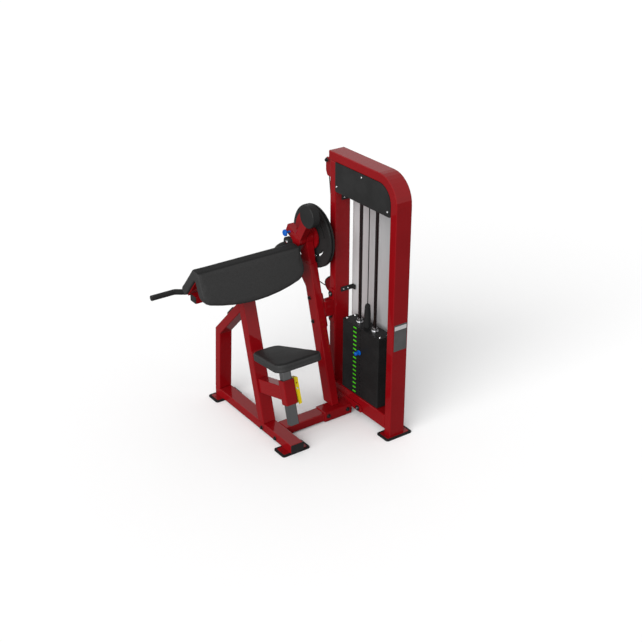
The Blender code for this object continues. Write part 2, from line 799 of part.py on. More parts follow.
def selector_pin(pin):
    """Steel pin with a blue knob, through the chosen plate into the stem."""
    level = pin_level(SELECTED_PLATE)
    face = TOWER_X - PLATE_WIDE / 2 - PIN_STAND_OFF
    inside = TOWER_X + STEM_RADIUS * 0.7
    length = inside - face
    profile = [(0.0, 0.0), (PIN_RADIUS, 0.0), (PIN_RADIUS, length), (PIN_RING_RADIUS, length)]
    profile += [(PIN_RING_RADIUS, length + 0.004), (PIN_RADIUS * 1.6, length + 0.006)]
    profile += [(PIN_RADIUS * 1.6, length + 0.010), (PIN_KNOB_RADIUS, length + 0.013)]
    profile += [(PIN_KNOB_RADIUS, length + PIN_KNOB_LONG - 0.003)]
    profile += [(PIN_KNOB_RADIUS - 0.003, length + PIN_KNOB_LONG), (0.0, length + PIN_KNOB_LONG)]
    solid = lathe(profile, (inside, STACK_Y, level), (-1, 0, 0), 14)
    piece(solid, "selector_pin", BLUE, pin)


def guide_rods(body):
    """Chromed rods from the base beam to the top bar, each through a rubber ring."""
    bottom = BASE_BEAM_TOP + GAP
    for name, y in zip(("near", "far"), ROD_YS):
        shaft = rod((TOWER_X, y, bottom), (TOWER_X, y, ROD_BAR_BOTTOM - GAP), ROD_RADIUS, 16)
        piece(shaft, f"{name}_guide_rod", CHROME, body)
        top = (TOWER_X, y, bottom + BUMPER_THICK)
        ring = tube((TOWER_X, y, bottom), top, BUMPER_RADIUS, ROD_RADIUS + RUNNING_GAP, 16)
        piece(ring, f"{name}_stack_bumper", RUBBER, body)


def rod_top_bar(body):
    low = (TOWER_X - ROD_BAR_WIDE / 2, UPRIGHT_DEEP + GAP, ROD_BAR_BOTTOM)
    high = (TOWER_X + ROD_BAR_WIDE / 2, FAR_Y - GAP, ROD_BAR_TOP)
    bar = round_edges(box(low, high), TUBE_EDGE / 2, 1)
    hole_low = (TOWER_X, STACK_Y, ROD_BAR_BOTTOM - 0.01)
    hole_high = (TOWER_X, STACK_Y, ROD_BAR_TOP + 0.01)
    cut(bar, rod(hole_low, hole_high, ROD_BAR_CABLE_HOLE, 12))
    piece(bar, "rod_top_bar", RED, body)


def cable_boot(lifted):
    """Tapered boot over the clamp where the cable is fixed to the head plate."""
    profile = [(0.0, 0.0), (BOOT_RADIUS, 0.0), (BOOT_RADIUS, BOOT_HIGH * 0.50)]
    profile += [(BOOT_TOP_RADIUS, BOOT_HIGH * 0.90), (BOOT_TOP_RADIUS * 0.86, BOOT_HIGH * 0.96)]
    profile += [(BOOT_TOP_RADIUS * 0.50, BOOT_HIGH), (0.0, BOOT_HIGH)]
    boot = lathe(profile, (TOWER_X, STACK_Y, STACK_TOP + GAP), (0, 0, 1), 16)
    piece(boot, "cable_boot", RUBBER, lifted)


# Pulleys and cable

def pulley_places():
    """Centre and level direction of the plane of each pulley, towards its outgoing cable."""
    ahead = Vector((0.0, 1.0, 0.0))
    stack = Vector((TOWER_X, STACK_Y + PULLEY_RADIUS, STACK_PULLEY_HEIGHT))
    upper = Vector((TOWER_X, FAR_OUT + UPPER_PULLEY_OUT, STACK_PULLEY_HEIGHT))
    lower = Vector((LOWER_PULLEY_X, FAR_OUT + LOWER_PULLEY_OUT, LOWER_PULLEY_HEIGHT))
    cam_drop = Vector((CAM_X, PIVOT_Y + CAM_CABLE_RADIUS, 0.0))
    across = Vector((cam_drop.x - lower.x, cam_drop.y - lower.y, 0.0))
    slant = across.normalized()
    run = across.length - PULLEY_RADIUS
    rise = run * math.tan(math.radians(GUIDE_PULLEY_RISE))
    guide = lower + slant * run + Vector((0.0, 0.0, rise))
    level = {"stack": (stack, ahead), "upper": (upper, ahead)}
    return {**level, "lower": (lower, slant), "guide": (guide, slant)}


def pulley_axis(slant):
    """Axle direction of a pulley, square to its plane, pointing towards +X."""
    return Vector((slant.y, -slant.x, 0.0))


def pulley_solid(centre, slant):
    """Grooved wheel that turns on its axle."""
    half = PULLEY_WIDE / 2
    floor = PULLEY_RADIUS - CABLE_RADIUS - GAP
    lip = PULLEY_GROOVE / 2
    bore = AXLE_RADIUS + RUNNING_GAP
    profile = [(bore, -half), (PULLEY_RIM, -half), (PULLEY_RIM, -lip), (floor, -lip * 0.7)]
    profile += [(floor, lip * 0.7), (PULLEY_RIM, lip), (PULLEY_RIM, half), (bore, half)]
    return lathe(profile, centre, pulley_axis(slant), 24)


def pulleys(bodies):
    for name, (centre, slant) in pulley_places().items():
        piece(pulley_solid(centre, slant), f"{name}_pulley", BLACK_PLASTIC, bodies[name])


def cheek_reach():
    return PULLEY_WIDE / 2 + CHEEK_GAP + CHEEK_THICK


def pulley_plane(centre, slant):
    """Matrix of a pulley's plane: X along its level direction, Y up, Z along its axle."""
    axis = pulley_axis(slant)
    columns = Matrix((slant, Vector((0.0, 0.0, 1.0)), axis)).transposed()
    return Matrix.Translation(centre) @ columns.to_4x4()


def cheeks(centre, slant, outline):
    """Pair of plates beside a pulley, and the bolt through them that it turns on."""
    half = cheek_reach() + AXLE_HEAD
    solids = [rod((0, 0, -half + WELD_OVERLAP), (0, 0, half - WELD_OVERLAP), AXLE_RADIUS, 12)]
    for side in (-1, 1):
        near = side * (PULLEY_WIDE / 2 + CHEEK_GAP)
        far = side * cheek_reach()
        solids.append(prism(outline, min(near, far), max(near, far), "Z"))
        head = side * half
        solids.append(rod((0, 0, far - side * WELD_OVERLAP), (0, 0, head), AXLE_RADIUS * 1.6, 6))
    return [place(solid, pulley_plane(centre, slant)) for solid in solids]


def stack_pulley_bracket(body):
    """Fork that hangs from the top tube."""
    centre, slant = pulley_places()["stack"]
    up = TUBE_UNDER - GAP - centre.z
    outline = rounded([(-0.018, -0.016, 0.014), (0.018, -0.016, 0.014), (0.018, up, 0), (-0.018, up, 0)])
    low = (centre.x - 0.030, centre.y - 0.030, TUBE_UNDER - GAP - FLANGE_THICK)
    high = (centre.x + 0.030, centre.y + 0.030, TUBE_UNDER - GAP)
    fork = weld(box(low, high), *cheeks(centre, slant, outline))
    piece(fork, "stack_pulley_bracket", BLACK_STEEL, body)


def upper_pulley_bracket(body):
    """Fork on the far upright's outer face, below the cable slot."""
    centre, slant = pulley_places()["upper"]
    back = FAR_OUT + GAP - centre.y
    outline = rounded([
        (back, -0.058, 0), (0.030, -0.058, 0.012), (0.043, -0.030, 0.012),
        (0.043, 0.048, 0.016), (back, 0.048, 0)])
    low = (centre.x - 0.030, FAR_OUT + GAP, centre.z - 0.058)
    high = (centre.x + 0.030, FAR_OUT + GAP + FLANGE_THICK, centre.z + PULLEY_RADIUS - CABLE_SLOT_HALF)
    fork = weld(box(low, high), *cheeks(centre, slant, outline))
    piece(fork, "upper_pulley_bracket", RED, body)


def lower_pulley_bracket(body):
    """Fork on the far upright's outer face, turned towards the cam's cable."""
    centre, slant = pulley_places()["lower"]
    back = -0.075
    outline = rounded([
        (back, -0.046, 0), (0.018, -0.046, 0.014), (0.034, -0.020, 0.014),
        (0.034, 0.018, 0.014), (0.010, 0.036, 0.010), (back, 0.036, 0)])
    low = (centre.x - 0.020, FAR_OUT + GAP, centre.z - 0.056)
    high = (centre.x + 0.048, FAR_OUT + GAP + FLANGE_THICK, centre.z + 0.046)
    fork = weld(box(low, high), *cheeks(centre, slant, outline))
    behind = box((-0.2, FAR_OUT - 0.2, centre.z - 0.2), (0.3, FAR_OUT + GAP, centre.z + 0.2))
    piece(cut(fork, behind), "lower_pulley_bracket", RED, body)


def brace_end():
    """Y of the brace's upright end face."""
    return arm_post_far(BRACE_START) + BRACE_REACH


def guide_pulley_bracket(body):
    """Plate on the end of the brace, with two cheeks that hang from it."""
    centre, slant = pulley_places()["guide"]
    top = PULLEY_RIM + 0.006
    outline = rounded([(-0.018, -0.016, 0.014), (0.018, -0.016, 0.014), (0.018, top, 0), (-0.018, top, 0)])
    low = (ARM_POST_FACE - ARM_POST_WIDE, brace_end() + GAP, centre.z + top - 0.001)
    high = (centre.x + 0.026, centre.y + 0.016, centre.z + top + 0.009)
    fork = weld(box(low, high), *cheeks(centre, slant, outline))
    piece(fork, "guide_pulley_bracket", BLACK_STEEL, body)


def pulley_arc(name, first, last):
    """Points of the cable on a pulley, by angles in its plane, in degrees."""
    centre, slant = pulley_places()[name]
    plane = pulley_plane(centre, slant)
    return [plane @ Vector((a, b, 0.0)) for a, b in arc_points(PULLEY_RADIUS, first, last, ARC_STEP)]


def cable_run(body):
    """Cable from the stack pulley over the tower and down to the cam's far side."""
    places = pulley_places()
    upper, lower = places["upper"][0], places["lower"][0]
    back = Vector((upper.y - lower.y, upper.z - lower.z))
    slant = math.degrees(math.atan2(back.y, back.x))
    cross = math.degrees(math.asin(2 * PULLEY_RADIUS / back.length))
    touch = slant - 90.0 - cross
    points = [Vector((TOWER_X, STACK_Y, STACK_PULLEY_HEIGHT - PULLEY_RADIUS))]
    points += pulley_arc("stack", 180.0, 90.0)
    points += pulley_arc("upper", 90.0, touch)
    points += pulley_arc("lower", 180.0 + touch, 270.0 + GUIDE_PULLEY_RISE)
    points += pulley_arc("guide", -90.0 + GUIDE_PULLEY_RISE, 0.0)
    points.append(Vector((CAM_X, PIVOT_Y + CAM_CABLE_RADIUS, PIVOT_Z - GAP)))
    piece(round_bar(points, CABLE_RADIUS, 2), "cable_run", CABLE_BLACK, body)


def cable_stack_stretch(body):
    """Straight cable between the stack pulley and the boot, which shortens as the stack rises."""
    bottom = (TOWER_X, STACK_Y, STACK_TOP + GAP + BOOT_HIGH + GAP)
    top = (TOWER_X, STACK_Y, STACK_PULLEY_HEIGHT - PULLEY_RADIUS - GAP)
    piece(rod(bottom, top, CABLE_RADIUS, 8), "cable_stack_stretch", CABLE_BLACK, body)


def cam_cable(cam):
    """Cable that lies in the cam's groove, from where it meets the wheel to its anchor."""
    start = math.degrees(GAP / CAM_CABLE_RADIUS)
    spots = arc_points(CAM_CABLE_RADIUS, start, CAM_WRAP, 8.0)
    points = [about_pivot(spot, CAM_X) for spot in spots]
    piece(round_bar(points, CABLE_RADIUS, 2), "cam_cable", CABLE_BLACK, cam)


# Cam, arm and handle

def cam_wheel(cam):
    """Grooved wheel with a raised rim and three curved slots in its web."""
    low, high = -CAM_THICK / 2, CAM_THICK / 2
    web = CAM_WEB / 2
    floor = CAM_CABLE_RADIUS - CABLE_RADIUS - GAP
    groove = CABLE_RADIUS + 0.0015
    bore = SHAFT_RADIUS + GAP
    profile = [(bore, low), (CAM_HUB, low), (CAM_HUB + 0.002, -web), (CAM_RIM_INNER - 0.003, -web)]
    profile += [(CAM_RIM_INNER, low), (CAM_RADIUS - 0.002, low), (CAM_RADIUS, low + 0.002)]
    profile += [(CAM_RADIUS, -groove), (floor, -groove), (floor, groove), (CAM_RADIUS, groove)]
    profile += [(CAM_RADIUS, high - 0.002), (CAM_RADIUS - 0.002, high), (CAM_RIM_INNER, high)]
    profile += [(CAM_RIM_INNER - 0.003, web), (CAM_HUB + 0.002, web), (CAM_HUB, high), (bore, high)]
    wheel = lathe(profile, (CAM_X, PIVOT_Y, PIVOT_Z), (1, 0, 0), 48)
    for first, last in CAM_SLOT_ANGLES:
        outer = arc_points(CAM_SLOT_RADIUS + CAM_SLOT_HALF, first, last, 8.0)
        inner = arc_points(CAM_SLOT_RADIUS - CAM_SLOT_HALF, last, first, 8.0)
        outline = [(PIVOT_Y + a, PIVOT_Z + b) for a, b in outer + inner]
        cut(wheel, prism(outline, CAM_LOW_X - 0.01, CAM_HIGH_X + 0.01, "X"))
    piece(wheel, "cam_wheel", BLACK_PLASTIC, cam)


def index_plate(cam):
    """Red disc with a lobe, whose row of joined holes takes the pop pin."""
    first, last = INDEX_LOBE_ANGLES
    lobe = arc_points(INDEX_LOBE, first, last, 7.5)
    rest = arc_points(INDEX_HUB, last, first + 360.0, 15.0)
    outline = [(PIVOT_Y + a, PIVOT_Z + b) for a, b in lobe + rest]
    plate = prism(outline, INDEX_LOW_X, INDEX_HIGH_X, "X")
    ends = (INDEX_LOW_X - 0.01, INDEX_HIGH_X + 0.01)
    cut(plate, rod(*[about_pivot((0.0, 0.0), x) for x in ends], SHAFT_RADIUS + GAP, 20))
    for number in range(INDEX_HOLE_COUNT):
        spot = polar(POP_PIN_REACH, INDEX_ARM_ANGLE + number * INDEX_HOLE_STEP)
        cut(plate, rod(*[about_pivot(spot, x) for x in ends], INDEX_HOLE, 12))
    piece(plate, "index_plate", RED, cam)


def pivot_shaft(cam):
    """Shaft that the cam is fixed to, through the housing and the arm's hub."""
    low = ARM_LOW_X - 0.0005
    high = CAM_HIGH_X + 0.008
    collar = SHAFT_RADIUS * 1.35
    length = high - low
    profile = [(0.0, 0.0), (SHAFT_RADIUS, 0.0), (SHAFT_RADIUS, length - 0.008 + GAP)]
    profile += [(collar, length - 0.008 + GAP), (collar, length), (0.0, length)]
    shaft = lathe(profile, (low, PIVOT_Y, PIVOT_Z), (1, 0, 0), 20)
    piece(shaft, "pivot_shaft", ZINC, cam)


def bearing_housing(body):
    """Round housing on a tapered pedestal that stands on the arm post."""
    axle = [about_pivot((0.0, 0.0), x) for x in (HOUSING_LOW_X, HOUSING_HIGH_X)]
    housing = rod(*axle, HOUSING_RADIUS, 28)
    middle = (HOUSING_LOW_X + HOUSING_HIGH_X) / 2
    foot = ARM_POST_TOP + GAP
    near = arm_post_near(ARM_POST_TOP) + 0.002
    far = arm_post_far(ARM_POST_TOP) - 0.002
    outline = [(near, foot), (far, foot), (PIVOT_Y + HOUSING_RADIUS * 0.94, PIVOT_Z - 0.012)]
    outline += [(PIVOT_Y - HOUSING_RADIUS * 0.94, PIVOT_Z - 0.012)]
    pedestal = prism(outline, middle - HOUSING_PEDESTAL / 2, middle + HOUSING_PEDESTAL / 2, "X")
    weld(housing, pedestal)
    through = [about_pivot((0.0, 0.0), x) for x in (HOUSING_LOW_X - 0.01, HOUSING_HIGH_X + 0.01)]
    cut(housing, rod(*through, SHAFT_RADIUS + RUNNING_GAP, 20))
    piece(housing, "bearing_housing", RED, body)


def radial_bar(angle, reach, high, low_x, high_x):
    """Square bar from the pivot outward, seen from the side at an angle in degrees."""
    along = polar(1.0, angle)
    across = Vector((-along.y, along.x)) * high / 2
    ends = [-across, along * reach - across, along * reach + across, across]
    outline = [(PIVOT_Y + spot.x, PIVOT_Z + spot.y) for spot in ends]
    return prism(outline, low_x, high_x, "X")


def movement_arm(arm):
    """Welded arm: hub, counterweight tube, index tube with the pin's barrel, and handle lug."""
    ends = [about_pivot((0.0, 0.0), x) for x in (ARM_LOW_X, ARM_HIGH_X)]
    solid = rod(*ends, ARM_HUB, 28)
    inner, outer = ARM_LOW_X + 0.002, ARM_HIGH_X - 0.001
    weight_bar = radial_bar(WEIGHT_ARM_ANGLE, WEIGHT_ARM_REACH, ARM_TUBE, inner, outer)
    index_bar = radial_bar(INDEX_ARM_ANGLE, INDEX_ARM_REACH, ARM_TUBE, ARM_LOW_X + 0.001, ARM_HIGH_X - 0.002)
    lug = radial_bar(LUG_ANGLE, LUG_REACH, ARM_TUBE, ARM_LOW_X, ARM_HIGH_X - 0.003)
    barrel_spot = polar(POP_PIN_REACH, INDEX_ARM_ANGLE)
    barrel = [about_pivot(barrel_spot, x) for x in (ARM_HIGH_X - 0.010, INDEX_LOW_X - 0.0015)]
    weld(solid, weight_bar, index_bar, lug, rod(*barrel, POP_BARREL, 16))
    centre = polar(WEIGHT_ARM_REACH, WEIGHT_ARM_ANGLE)
    clear = [about_pivot(centre, x) for x in (ARM_LOW_X - 0.02, ARM_HIGH_X + 0.02)]
    cut(solid, rod(*clear, COUNTERWEIGHT_RADIUS + GAP, 36))
    bore = [about_pivot((0.0, 0.0), x) for x in (ARM_LOW_X - 0.01, ARM_HIGH_X + 0.01)]
    cut(solid, rod(*bore, SHAFT_RADIUS + RUNNING_GAP, 20))
    pin = [about_pivot(barrel_spot, x) for x in (ARM_LOW_X - 0.01, INDEX_LOW_X + 0.01)]
    cut(solid, rod(*pin, POP_PIN_RADIUS + RUNNING_GAP, 14))
    piece(solid, "movement_arm", RED, arm)


def counterweight(arm):
    centre = polar(WEIGHT_ARM_REACH, WEIGHT_ARM_ANGLE)
    middle = (ARM_LOW_X + ARM_HIGH_X) / 2
    half = COUNTERWEIGHT_THICK / 2
    edge = 0.003
    radius = COUNTERWEIGHT_RADIUS
    profile = [(0.0, -half), (radius - edge, -half), (radius, edge - half), (radius, half - edge)]
    profile += [(radius - edge, half), (0.0, half)]
    solid = lathe(profile, about_pivot(centre, middle), (1, 0, 0), 36)
    piece(solid, "counterweight", BLACK_STEEL, arm)


def handle_bar(arm):
    """Cambered bar welded to its boss: down past the pad, and across in front of it."""
    inner_end = BAR_LEG_X - BAR_BEND - GRIP_LONG + 0.020
    outer_end = BAR_END_X + GRIP_LONG
    corners = [
        (about_pivot(BAR_START, BOSS_LOW_X + WELD_OVERLAP), 0.0),
        (about_pivot(BAR_START, BAR_LEG_X), BAR_BEND),
        (about_pivot(BAR_LANE, BAR_LEG_X), BAR_BEND),
        (about_pivot(BAR_LANE, inner_end), CAMBER_BEND),
        (about_pivot(BAR_INNER_LANE, inner_end - GRIP_RUN), CAMBER_BEND),
        (about_pivot(BAR_INNER_LANE, outer_end + GRIP_RUN), CAMBER_BEND),
        (about_pivot(BAR_LANE, outer_end), CAMBER_BEND),
        (about_pivot(BAR_LANE, BAR_END_X), 0.0)]
    spot = polar(BOSS_REACH, LUG_ANGLE)
    boss = rod(*[about_pivot(spot, x) for x in (BOSS_LOW_X, BOSS_HIGH_X)], BOSS_RADIUS, 24)
    bar = weld(round_bar(bent_path(corners), BAR_RADIUS, 3), boss)
    piece(bar, "handle_bar", BLACK_STEEL, arm)


def pop_pin(pin):
    """Spring pin with a flat blue knob. Its narrow tip stands in the index plate."""
    spot = polar(POP_PIN_REACH, INDEX_ARM_ANGLE)
    tip = INDEX_HIGH_X - 0.003
    shoulder = tip - (INDEX_LOW_X - 0.0025)
    knob = tip - (ARM_LOW_X - POP_PIN_STAND_OFF)
    profile = [(0.0, 0.0), (POP_PIN_TIP, 0.0), (POP_PIN_TIP, shoulder), (POP_PIN_RADIUS, shoulder)]
    profile += [(POP_PIN_RADIUS, knob), (POP_PIN_KNOB, knob), (POP_PIN_KNOB, knob + 0.008)]
    profile += [(POP_PIN_KNOB - 0.003, knob + 0.011), (0.0, knob + 0.011)]
    start = about_pivot(spot, tip)
    piece(lathe(profile, start, (-1, 0, 0), 18), "pop_pin", BLUE, pin)


# Base, posts and pad frame

def arm_post_near(height):
    return ARM_POST_NEAR + lean_shift(height - SLEEVE_TOP)


def arm_post_far(height):
    return arm_post_near(height) + lean_depth(ARM_POST_DEEP)


def pad_post_near(height):
    return PAD_POST_NEAR + lean_shift(height - RAIL_TOP)


def pad_post_far(height):
    return pad_post_near(height) + lean_depth(PAD_POST_DEEP)


def base_rail(body):
    rail = box((RAIL_LOW_X, RAIL_NEAR, FRAME_BOTTOM), (RAIL_HIGH_X, RAIL_FAR, RAIL_TOP))
    weld(round_edges(rail, TUBE_EDGE, 2), foot_plate(2), foot_plate(3))
    piece(rail, "base_rail", RED, body)


def tube_end_caps(body):
    """Black caps on the near end of the base rail and of the pad frame's tube."""
    outline = rectangle(RAIL_LOW_X, FOOT_TOP + GAP, RAIL_HIGH_X, RAIL_TOP, TUBE_EDGE)
    near = RAIL_NEAR - GAP
    piece(prism(outline, near - END_CAP_THICK, near, "Y"), "rail_end_cap", BLACK_PLASTIC, body)
    low = PAD_POST_TOP + GAP
    near_y, far_y = pad_post_near(PAD_POST_TOP), pad_post_far(PAD_POST_TOP)
    outline = rectangle(near_y, low, far_y, low + PAD_TUBE_HIGH, TUBE_EDGE)
    near = PAD_FRAME_LOW - GAP
    piece(prism(outline, near - END_CAP_THICK, near, "X"), "pad_frame_plug", BLACK_PLASTIC, body)


def cross_beam(body):
    """Beam from the rail towards the tower; its end stands in the sleeve."""
    half = CROSS_BEAM_WIDE / 2
    low_x = RAIL_HIGH_X + GAP
    high_x = -CROSS_FLANGE_THICK - SLEEVE_LONG * 0.5
    beam = box((low_x, CROSS_BEAM_Y - half, FRAME_BOTTOM), (high_x, CROSS_BEAM_Y + half, RAIL_TOP))
    piece(round_edges(beam, TUBE_EDGE, 2), "cross_beam", RED, body)


def cross_sleeve(body):
    """Larger tube that takes the cross beam, welded to the flange on the tower's base beam."""
    bore_y = CROSS_BEAM_WIDE / 2 + GAP
    outer_y = bore_y + SLEEVE_WALL
    flange_x = -GAP - CROSS_FLANGE_THICK
    low_x = flange_x - SLEEVE_LONG
    low_z = FRAME_BOTTOM - GAP - SLEEVE_WALL
    high_x = flange_x + 0.001
    sleeve = box((low_x, CROSS_BEAM_Y - outer_y, low_z), (high_x, CROSS_BEAM_Y + outer_y, SLEEVE_TOP))
    round_edges(sleeve, TUBE_EDGE, 2)
    bore_low = (low_x - 0.01, CROSS_BEAM_Y - bore_y, FRAME_BOTTOM - GAP)
    bore_high = (flange_x - SLEEVE_LONG * 0.45, CROSS_BEAM_Y + bore_y, RAIL_TOP + GAP)
    cut(sleeve, box(bore_low, bore_high))
    half = CROSS_FLANGE_LONG / 2
    near_y, far_y = CROSS_BEAM_Y - half, CROSS_BEAM_Y + half
    outline = rectangle(near_y, CROSS_FLANGE_BOTTOM, far_y, CROSS_FLANGE_TOP, 0.010)
    weld(sleeve, prism(outline, flange_x, -GAP, "X"))
    piece(sleeve, "cross_beam_sleeve", RED, body)


def arm_post(body):
    """Leaning post beside the tower, with the brace that carries the guide pulley."""
    foot = SLEEVE_TOP + GAP
    outline = [(arm_post_near(foot), foot), (arm_post_far(foot), foot)]
    start = Vector((arm_post_far(BRACE_START), BRACE_START))
    slope = Vector((1.0, 1.0)).normalized()
    end = brace_end()
    rise = BRACE_DEEP * math.sqrt(2)
    far_line = Vector((math.tan(math.radians(LEAN)), 1.0))
    upper = meet(start + Vector((0.0, rise)), slope, start, far_line)
    outline += [tuple(start), (end, BRACE_START + BRACE_REACH), (end, BRACE_START + BRACE_REACH + rise)]
    outline += [tuple(upper), (arm_post_far(ARM_POST_TOP), ARM_POST_TOP)]
    outline += [(arm_post_near(ARM_POST_TOP), ARM_POST_TOP)]
    post = prism(outline, ARM_POST_FACE - ARM_POST_WIDE, ARM_POST_FACE, "X")
    piece(round_edges(post, TUBE_EDGE, 2), "arm_post", RED, body)


def connecting_block(body):
    """Short tube between two flanges that ties the arm post to the tower."""
    tower_flange = -GAP - BLOCK_FLANGE_THICK
    post_flange = ARM_POST_FACE + GAP + BLOCK_FLANGE_THICK
    block = box((post_flange - 0.001, FAR_Y, BLOCK_BOTTOM), (tower_flange + 0.001, FAR_OUT, BLOCK_TOP))
    outline = rectangle(FAR_Y + 0.001, BLOCK_FLANGE_BOTTOM, FAR_OUT - 0.001, BLOCK_FLANGE_TOP, 0.016)
    weld(block, prism(outline, tower_flange, -GAP, "X"))
    inset = 0.006
    low, high = BLOCK_FLANGE_BOTTOM, BLOCK_FLANGE_TOP - 0.018
    leaning = rounded([
        (arm_post_near(low) + inset, low, 0.010), (arm_post_far(low) - inset, low, 0.010),
        (arm_post_far(high) - inset, high, 0.010), (arm_post_near(high) + inset, high, 0.010)])
    weld(block, prism(leaning, ARM_POST_FACE + GAP, post_flange, "X"))
    piece(block, "connecting_block", RED, body)


def pad_post(body):
    foot = RAIL_TOP + GAP
    outline = [(pad_post_near(foot), foot), (pad_post_far(foot), foot)]
    outline += [(pad_post_far(PAD_POST_TOP), PAD_POST_TOP), (pad_post_near(PAD_POST_TOP), PAD_POST_TOP)]
    post = prism(outline, RAIL_LOW_X, RAIL_HIGH_X, "X")
    piece(round_edges(post, TUBE_EDGE, 2), "pad_post", RED, body)


def leg_lines():
    """Outer foot, outer elbow and the directions of the front leg and its diagonal."""
    up = Vector((-math.tan(math.radians(LEG_LEAN)), 1.0))
    foot = Vector((RAIL_FAR, RAIL_TOP + GAP))
    elbow = foot + up * (LEG_ELBOW - foot.y)
    diagonal = Vector((-1.0, 1.0)).normalized()
    return foot, elbow, up.normalized(), diagonal


def front_leg(body):
    """Front leg that turns 45 degrees back to meet the pad post."""
    foot, elbow, up, diagonal = leg_lines()
    post_start = Vector((pad_post_far(RAIL_TOP) + GAP, RAIL_TOP))
    post_up = Vector((math.tan(math.radians(LEAN)), 1.0))
    width = LEG_DEEP / up.y
    inner_foot = foot - Vector((width, 0.0))
    inner_diagonal = elbow + Vector((-diagonal.y, diagonal.x)) * LEG_DEEP
    inner_elbow = meet(inner_foot, up, inner_diagonal, diagonal)
    outer_top = meet(elbow, diagonal, post_start, post_up)
    inner_top = meet(inner_elbow, diagonal, post_start, post_up)
    outline = [tuple(spot) for spot in (foot, elbow, outer_top, inner_top, inner_elbow, inner_foot)]
    leg = prism(outline, RAIL_LOW_X, RAIL_HIGH_X, "X")
    piece(round_edges(leg, TUBE_EDGE, 2), "front_leg", RED, body)


def leg_bumper(body):
    """Rubber block on the diagonal's outer face."""
    elbow, diagonal = leg_lines()[1], leg_lines()[3]
    out = Vector((diagonal.y, -diagonal.x))
    start = elbow + diagonal * (BUMPER_PAD_UP - BUMPER_PAD_LONG / 2) + out * GAP
    ends = [(0.0, 0.0), (BUMPER_PAD_LONG, 0.0)]
    ends += [(BUMPER_PAD_LONG - 0.012, BUMPER_PAD_THICK), (0.012, BUMPER_PAD_THICK)]
    outline = [tuple(start + diagonal * along + out * off) for along, off in ends]
    block = prism(outline, RAIL_X - BUMPER_PAD_WIDE / 2, RAIL_X + BUMPER_PAD_WIDE / 2, "X")
    piece(block, "leg_bumper", RUBBER, body)


def pad_directions():
    """Down-the-face directions of the near and far legs of the V."""
    near = Vector((-math.cos(math.radians(PAD_NEAR_SLOPE)), -math.sin(math.radians(PAD_NEAR_SLOPE))))
    far = Vector((math.cos(math.radians(PAD_FAR_SLOPE)), -math.sin(math.radians(PAD_FAR_SLOPE))))
    return near, far


def pad_inside(clearance):
    """Inner faces of the V: a point on each, and their apex, at a clearance from the cushion."""
    near, far = pad_directions()
    depth = PAD_THICK + clearance
    near_start = Vector(PAD_RIDGE_NEAR) + Vector((-near.y, near.x)) * depth
    far_start = Vector(PAD_RIDGE_FAR) + Vector((far.y, -far.x)) * depth
    apex = meet(near_start, near, far_start, far)
    return near_start, far_start, apex


def pad_frame(body):
    """Cross tube on the post, with backing plates and ribs inside the V."""
    near, far = pad_directions()
    near_start, far_start, apex = pad_inside(0.0005)
    tube_low = PAD_POST_TOP + GAP
    near_y, far_y = pad_post_near(PAD_POST_TOP), pad_post_far(PAD_POST_TOP)
    frame = box((PAD_FRAME_LOW, near_y, tube_low), (PAD_FRAME_HIGH, far_y, tube_low + PAD_TUBE_HIGH))
    floor = Vector((1.0, 0.0))
    near_foot = meet(near_start, near, (0.0, tube_low + 0.006), floor)
    far_foot = meet(far_start, far, (0.0, tube_low + 0.006), floor)
    outline = rounded([(*near_foot, 0.0), (*far_foot, 0.0), (*apex, 0.018)])
    middle = (PAD_FRAME_LOW + PAD_FRAME_HIGH) / 2
    for start in (PAD_FRAME_LOW + PAD_RIB_INSET, middle, PAD_FRAME_HIGH - PAD_RIB - PAD_RIB_INSET):
        weld(frame, prism(outline, start, start + PAD_RIB, "X"))
    inward = Vector((far.y, -far.x)) * PAD_BACKING
    along = far * (PAD_FAR_LONG - 0.012)
    top = far * 0.060
    plate = [far_start + top, far_start + along, far_start + along + inward, far_start + top + inward]
    weld(frame, prism([tuple(spot) for spot in plate], PAD_FRAME_LOW, PAD_FRAME_HIGH, "X"))
    piece(frame, "pad_frame", RED, body)


def pad_near_length(offset):
    """Length of the near leg at a distance from the pad's middle: a long arc with round corners."""
    arc = PAD_NEAR_ARC - math.sqrt(PAD_NEAR_ARC ** 2 - offset ** 2)
    corner_start = PAD_LONG / 2 - PAD_CORNER
    into = max(0.0, min(abs(offset) - corner_start, PAD_CORNER * 0.98))
    return PAD_NEAR_LONG - arc - (PAD_CORNER - math.sqrt(PAD_CORNER ** 2 - into ** 2))


def pad_section(offset):
    """Outline of the V at a distance from its middle, anticlockwise, with rounded edges."""
    near, far = pad_directions()
    near_in = Vector((-near.y, near.x)) * PAD_THICK
    far_in = Vector((far.y, -far.x)) * PAD_THICK
    ridge_near, ridge_far = Vector(PAD_RIDGE_NEAR), Vector(PAD_RIDGE_FAR)
    apex = pad_inside(0.0)[2]
    near_end = ridge_near + near * pad_near_length(offset)
    far_end = ridge_far + far * PAD_FAR_LONG
    crown = 1.05 - (2.0 * offset / PAD_LONG) ** 4
    near_middle = (ridge_near + near_end) / 2 - near_in.normalized() * PAD_CROWN * crown
    far_middle = (ridge_far + far_end) / 2 - far_in.normalized() * PAD_CROWN * crown
    corners = [
        (*near_end, 0.016), (*(near_end + near_in), 0.012), (*apex, 0.010),
        (*(far_end + far_in), 0.012), (*far_end, 0.016), (*far_middle, 0.25),
        (*ridge_far, 0.014), (*ridge_near, 0.024), (*near_middle, 0.25)]
    return rounded(corners, steps=3)


